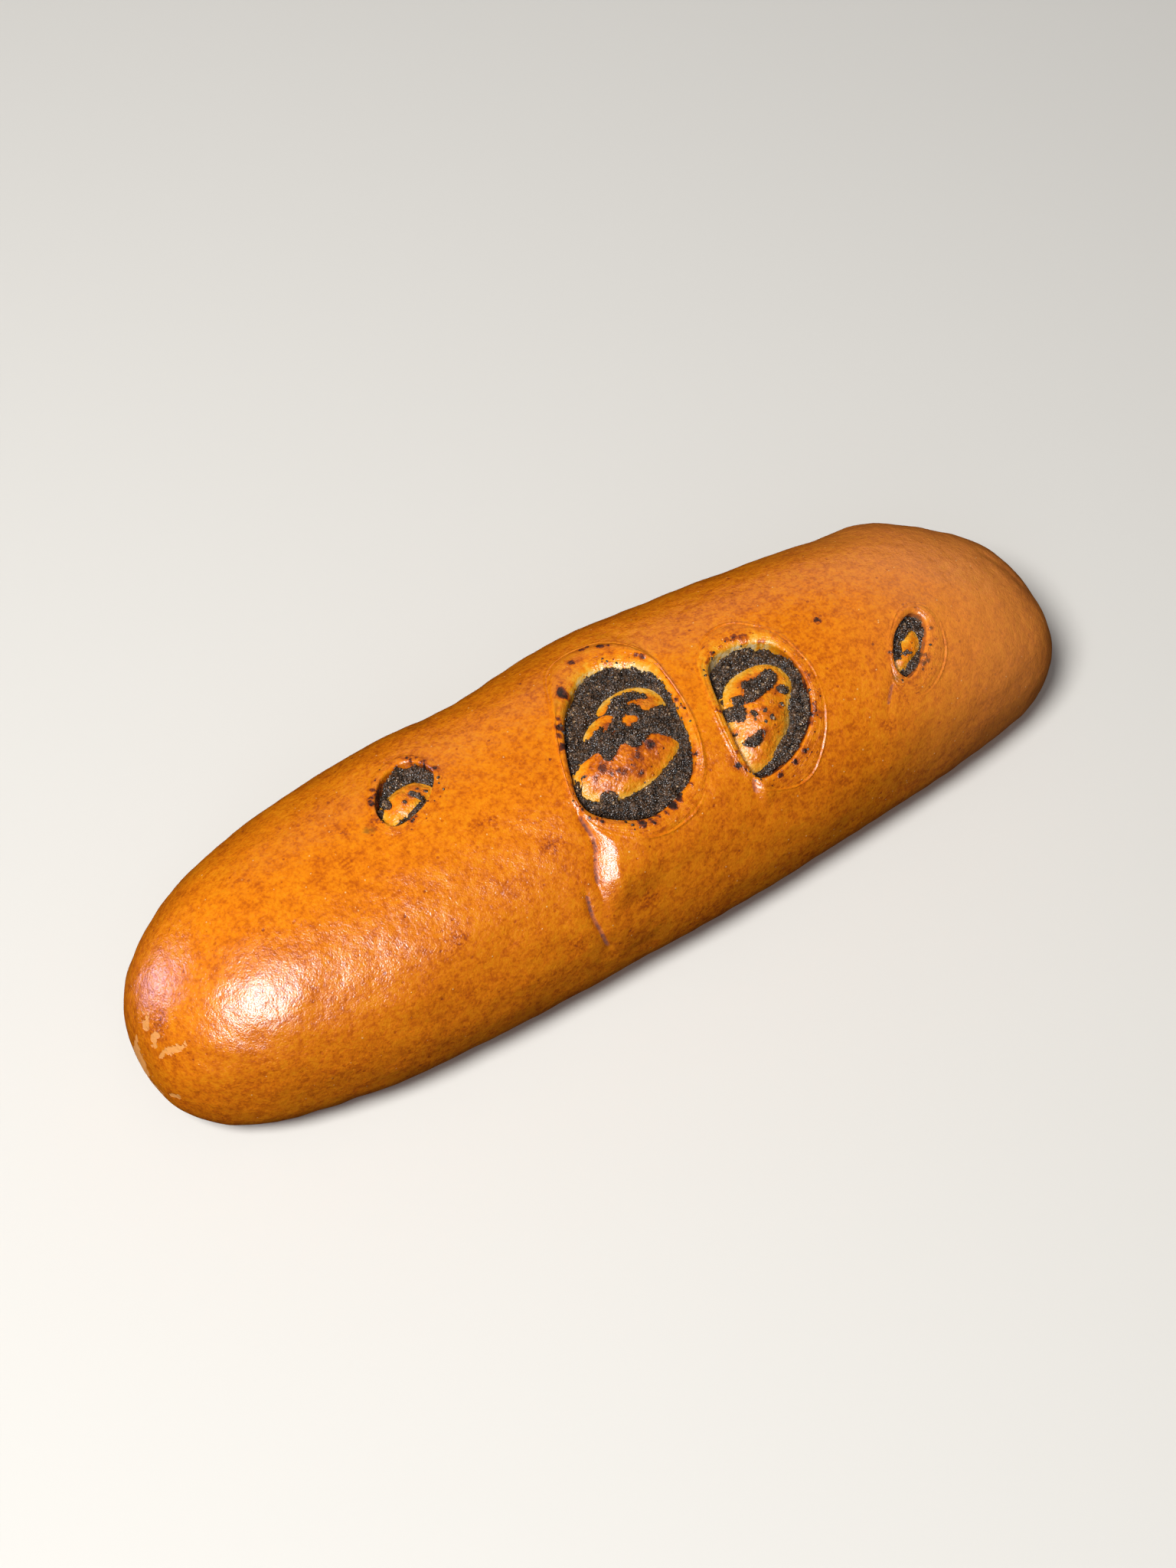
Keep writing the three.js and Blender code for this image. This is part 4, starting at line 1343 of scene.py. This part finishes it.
def new_material(name, roughness):
    """A material, its shader's inputs and its own coordinates."""
    material = bpy.data.materials.new(name)
    material.use_nodes = True
    tree = material.node_tree
    shader = tree.nodes["Principled BSDF"].inputs
    shader["Roughness"].default_value = roughness
    return material, shader, add(tree, "TexCoord", {}, "Object")


def raise_skin(shader, height, distance):
    """Feeds a height to the shader as a bump of the given depth in mm."""
    bump = add(height.tree, "Bump", {"Height": height, "Distance": distance * MM}, "Normal")
    plug(shader["Normal"], bump)

# %% [markdown]
# ## The glazed crust
#
# Most of the crust is a strong orange with darker freckles and clouds. Near a split the dough
# stretched as it rose, so it is paler, with streaks that run round the hole and rays that run out
# from it. The inside of the tear never saw the egg wash and stays cream. Char, brown blisters and
# peeled places come last.

# %% Crust finish
crust_finish, shader, here = new_material("glazed_crust", 0.26)

clouds = use(blotches, here, Size=15, Low=0.3, High=0.7, Detail=3)
mottle = use(blotches, here, Size=2.2, Low=0.34, High=0.7, Detail=5)
grain = use(blotches, here, Size=0.8, Low=0.38, High=0.64, Detail=3)
freckles = use(specks, here, Spacing=3.4, Radius=0.32, Share=0.35)
pin_pricks = use(specks, here, Spacing=1.3, Radius=0.13, Share=0.5)
# Painted glints: small pale specks in the colour stand in for the glaze's sparkle; they are also
# raised a little in the bump.
painted_glint_specks = use(specks, here, Spacing=2.4, Radius=0.15, Share=0.4)

# How far out from the torn edge, and how far the tear is rolled back there.
across = mark(here, "collar_across")
collar = fade(mark(here, "collar_width") - across, 0, 0.8)
openness = maths("MINIMUM", mark(here, "openness"), 1) * collar
yellow_rim = fade(across, 4.4, 0.8) * fade(openness, 0.35, 0.9)
cream_rim = fade(across, 1.2, 0.2) * fade(openness, 0.5, 0.9)
wall = fade(FAR_AWAY - mark(here, "wall_depth"), 0.3, 1.2)
pale_wall = wall * fade(openness, 0.5, 0.9)
# Painted shade, with browner dough: the walls on the overhanging sides are darkened.
browned_wall_painted_shade = wall * fade(openness, 0.5, 0.2)


def round_the_hole(along, around):
    """A place for a pattern that follows the collar, stretched across it and round it."""
    turn = [mark(here, "collar_turn_" + axis) * around for axis in "xy"]
    return add(here.tree, "CombineXYZ", {0: across * along, 1: turn[0], 2: turn[1]})


def noise_round(along, around, detail, roughness):
    """Noise of about -0.5 to 0.5 that follows the collar."""
    return add(here.tree, "TexNoise", {
        "Vector": round_the_hole(along, around), "Scale": 1, "Detail": detail,
        "Roughness": roughness}) - 0.5


streaks = noise_round(1.5, 2.4, 4, 0.65) * collar
rays = noise_round(0.22, 13, 3, 0.5) * fade(across, 4.4, 2.6) * fade(openness, 0.3, 0.8)
dashes = use(specks, round_the_hole(MM, 5.5 * MM), Spacing=0.9, Radius=0.14, Share=0.4)
dashes = dashes * fade(across, 9, 4) * collar
rim_specks = use(specks, here, Spacing=1.5, Radius=0.2, Share=0.4) * fade(across, 5, 2.5) * collar
rim_blotches = use(blotches, here, Size=2.4, Low=0.48, High=0.64, Detail=3)
rim_blotches = rim_blotches * fade(across, 5.5, 3) * collar

to_char = mark(here, "to_char")
char = use(ragged, here, Distance=to_char - 0.05, Softness=0.3, Raggedness=2, Grain=0.8)
scorch = use(ragged, here, Distance=to_char, Softness=1.2, Raggedness=2.4, Grain=1.6)
brown = use(ragged, here, Distance=mark(here, "to_brown"), Softness=1.3, Raggedness=4, Grain=1.9)
green = use(ragged, here, Distance=mark(here, "to_green"), Softness=0.7, Raggedness=2.6, Grain=0.9)
peeled = use(ragged, here, Distance=mark(here, "to_peeled") + 0.55, Softness=0.1, Raggedness=3,
             Grain=1.8)
# Painted shade in the folds' valleys: the colour browns there, and the gloss is dulled.
painted_crease_shade = fade(mark(here, "to_fold"), 0.75, 0.1)

browning = (
    0.455 + clouds * 0.06 + mottle * 0.12 + grain * 0.10 + freckles * 0.14 + pin_pricks * 0.10
    + rim_specks * 0.34 + rim_blotches * 0.10 + dashes * 0.16 + brown * (grain + 0.8) * 0.07
    + streaks * 0.35 + rays * 0.42 - collar * 0.02 - yellow_rim * 0.20 - cream_rim * 0.11
    - pale_wall * 0.18 + browned_wall_painted_shade * 0.2 + painted_crease_shade * 0.22 + scorch * 0.14 + char * 0.3
)
crust_colour = use(baked_colour, browning)
# Painted sheen: towards the far tip the colour pales as if it mirrored the sky.
far_tip_painted_sheen = fade(add(here.tree, "SeparateXYZ", {0: here}, "X"), 55 * MM, 118 * MM)
for share, tint in [
    (far_tip_painted_sheen * 0.5, (0.93, 0.33, 0.085)),    # painted sheen: the sky mirrored on the far tip
    (green * 0.55, (0.11, 0.075, 0.012)),
    (peeled * 0.85, (0.90, 0.38, 0.075)),
    (painted_glint_specks * 0.7, (0.95, 0.62, 0.25)),      # painted glints on the egg wash
]:
    crust_colour = blend(share, crust_colour, tint)
plug(shader["Base Color"], crust_colour)
plug(shader["Roughness"], painted_crease_shade * 0.6 + peeled * 0.3 + 0.26)

pebbles = [use(pebbled, here, Pebble=size, Strength=strength)
           for size, strength in ((1.1, 0.75), (0.45, 0.75), (2.8, 1.5))]
height = (
    sum(pebbles) + streaks * 2.4 + rays * 3 - freckles * 0.3 - dashes * 0.4 + char * 0.8
    - peeled * 0.8 + painted_glint_specks * 0.5
)
raise_skin(shader, height, 0.095)
crust_piece.data.materials.append(crust_finish)
print("crust finish: %d nodes" % len(here.tree.nodes))

# %% [markdown]
# ## The browned mounds
#
# The inner dough has no egg wash, but its fat makes it shine. It is golden, paler and yellow near
# the filling that shaded it, and toasted red brown on the mound's highest fold.

# %% Mound finish
mound_finish, shader, here = new_material("browned_dough", 0.34)
shader["Specular IOR Level"].default_value = 0.4
mottle = use(blotches, here, Size=2.6, Low=0.34, High=0.66, Detail=4)
grain = use(blotches, here, Size=0.8, Low=0.35, High=0.65, Detail=3)
blisters = use(blotches, here, Size=3.6, Low=0.52, High=0.66, Detail=3)
dots = use(specks, here, Spacing=1.6, Radius=0.2, Share=0.3)
to_char, to_filling = mark(here, "to_char"), mark(here, "to_filling")
toast = use(ragged, here, Distance=mark(here, "to_toast"), Softness=1.6, Raggedness=6, Grain=2.2)
char = use(ragged, here, Distance=to_char + 0.5, Softness=0.25, Raggedness=3.2, Grain=0.8)
scorch = use(ragged, here, Distance=to_char, Softness=1.5, Raggedness=4, Grain=1.5)
stain = use(ragged, here, Distance=to_filling, Softness=1.1, Raggedness=3.4, Grain=1.3)
shaded = fade(mark(here, "to_foot"), -4.2, -0.4)
lit = 1 - shaded
browning = (
    0.40 + mottle * 0.14 + grain * 0.12 + toast * 0.14 + blisters * (lit + 0.15) * 0.08
    + scorch * 0.08 + char * 0.17 - shaded * 0.27 + stain * lit * 0.24 + dots * 0.25
)
plug(shader["Base Color"], use(baked_colour, browning))
skin = use(pebbled, here, Pebble=0.8, Strength=1)
wrinkles = use(pebbled, here, Pebble=2.2, Strength=2.2)
raise_skin(shader, skin + wrinkles + char, 0.17)
inner_piece.data.materials.append(mound_finish)
print("mound finish: %d nodes" % len(here.tree.nodes))

# %% [markdown]
# ## Filling and seeds
#
# Poppy seed filling is ground seed in sugar and milk: a dark brown paste, moist and gritty. The
# paste gets a fine bump and a brown that changes from grain to grain. Painted shade makes it nearly
# black in the gaps between its clumps and along the overhanging edge, and darkens the seeds that
# lie in those gaps. The whole seeds on it are greyer. Some are wet and some dry, so only some of
# them sparkle.

# %% Filling finish
filling_finish, shader, here = new_material("poppy_paste", 0.36)
lump = use(blotches, here, Size=2.2, Low=0.35, High=0.7, Detail=3)
grit = add(here.tree, "TexVoronoi", {"Vector": here, "Scale": 1900})
one_grain = add(here.tree, "SeparateColor", {0: grit.beside("Color")})
# Painted shade: near black in the gaps between clumps and along the overhanging edge.
gap = FAR_AWAY - mark(here, "to_gap")
paste = blend((lump + one_grain) * 0.5, (0.022, 0.013, 0.008), (0.13, 0.070, 0.037))
plug(shader["Base Color"], blend(gap * 0.8, paste, (0.010, 0.006, 0.004)))
raise_skin(shader, grit * -1, 0.4)
filling_piece.data.materials.append(filling_finish)
print("filling finish: %d nodes" % len(here.tree.nodes))

# %% Seed finish
seed_finish, shader, here = new_material("poppy_seed", 0.5)
shade = mark(here, "shade")
seed_colour = blend(fade(shade, 0, 1), (0.020, 0.012, 0.008), (0.145, 0.080, 0.044))
seed_colour = blend(fade(shade, 0.9, 0.94), seed_colour, (0.34, 0.22, 0.12))
plug(shader["Base Color"], seed_colour)
plug(shader["Roughness"], add(here.tree, "MapRange", {
    "Value": mark(here, "wet"), "From Min": 0.2, "From Max": 0.6, "To Min": 0.6, "To Max": 0.15}))
raise_skin(shader, add(here.tree, "TexVoronoi", {"Vector": here, "Scale": 5200}), 0.08)
seeds_piece.data.materials.append(seed_finish)
print("seed finish: %d nodes" % len(here.tree.nodes))

# %% [markdown]
# ## Floor and light
#
# The floor is a plain pale sheet. It is left out of what the bread mirrors, so that the bread
# keeps the deep colour of its shaded side. One large soft light from the upper left shapes the
# roll. Three more make only its reflections: a softbox for the broad highlight on the left, a
# small cool one for the bluish glint beside it, and a faint wide one behind the roll.

# %% Floor
FLOOR_SIZE = 4000 * MM
floor_mesh = bpy.data.meshes.new("floor")
corners = [(x * FLOOR_SIZE, y * FLOOR_SIZE, 0) for x, y in ((-1, -1), (1, -1), (1, 1), (-1, 1))]
floor_mesh.from_pydata(corners, [], [(0, 1, 2, 3)])
floor = bpy.data.objects.new("floor", floor_mesh)
bpy.context.scene.collection.objects.link(floor)
floor_finish, shader, _ = new_material("pale_floor", 0.8)
shader["Base Color"].default_value = (0.72, 0.71, 0.69, 1)
floor_mesh.materials.append(floor_finish)
floor.visible_glossy = False
floor.visible_diffuse = False
print("floor: %.0f m wide" % (2 * FLOOR_SIZE))

# %% Lights
LIGHT_DISTANCE = 1.3


def softbox(name, azimuth, elevation, size, power, colour, shapes, mirrored):
    """A flat round light. shapes: it lights surfaces. mirrored: it shows in their gloss."""
    data = bpy.data.lights.new(name, "AREA")
    data.shape = "ELLIPSE"
    data.size, data.size_y = size
    data.energy = power
    data.color = colour
    lamp = bpy.data.objects.new(name, data)
    a, e = math.radians(azimuth), math.radians(elevation)
    way = Vector((math.sin(a) * math.cos(e), -math.cos(a) * math.cos(e), math.sin(e)))
    lamp.location = way * LIGHT_DISTANCE + ROLL_MIDDLE * MM
    lamp.rotation_euler = way.to_track_quat("Z", "Y").to_euler()
    lamp.visible_diffuse = shapes
    lamp.visible_glossy = mirrored
    bpy.context.scene.collection.objects.link(lamp)
    print("softbox %s: %g W" % (name, power))


softbox("overhead", -74, 62, (0.5, 0.5), 20, (1, 0.98, 0.94), shapes=True, mirrored=False)
softbox("highlight", -43, 42, (0.5, 0.85), 50, (0.88, 0.95, 1), shapes=False, mirrored=True)
softbox("glint", -123, 3, (0.28, 0.6), 11, (0.6, 0.66, 1.0), shapes=False, mirrored=True)
softbox("far_wall", 140, 26, (2.0, 0.8), 2.2, (1, 0.95, 0.92), shapes=False, mirrored=True)

world = bpy.data.worlds.new("studio")
world.use_nodes = True
world.node_tree.nodes["Background"].inputs["Color"].default_value = (1, 0.98, 0.96, 1)
world.node_tree.nodes["Background"].inputs["Strength"].default_value = 0.16
bpy.context.scene.world = world
world.cycles_visibility.glossy = False
bpy.context.scene.view_settings.view_transform = "Standard"
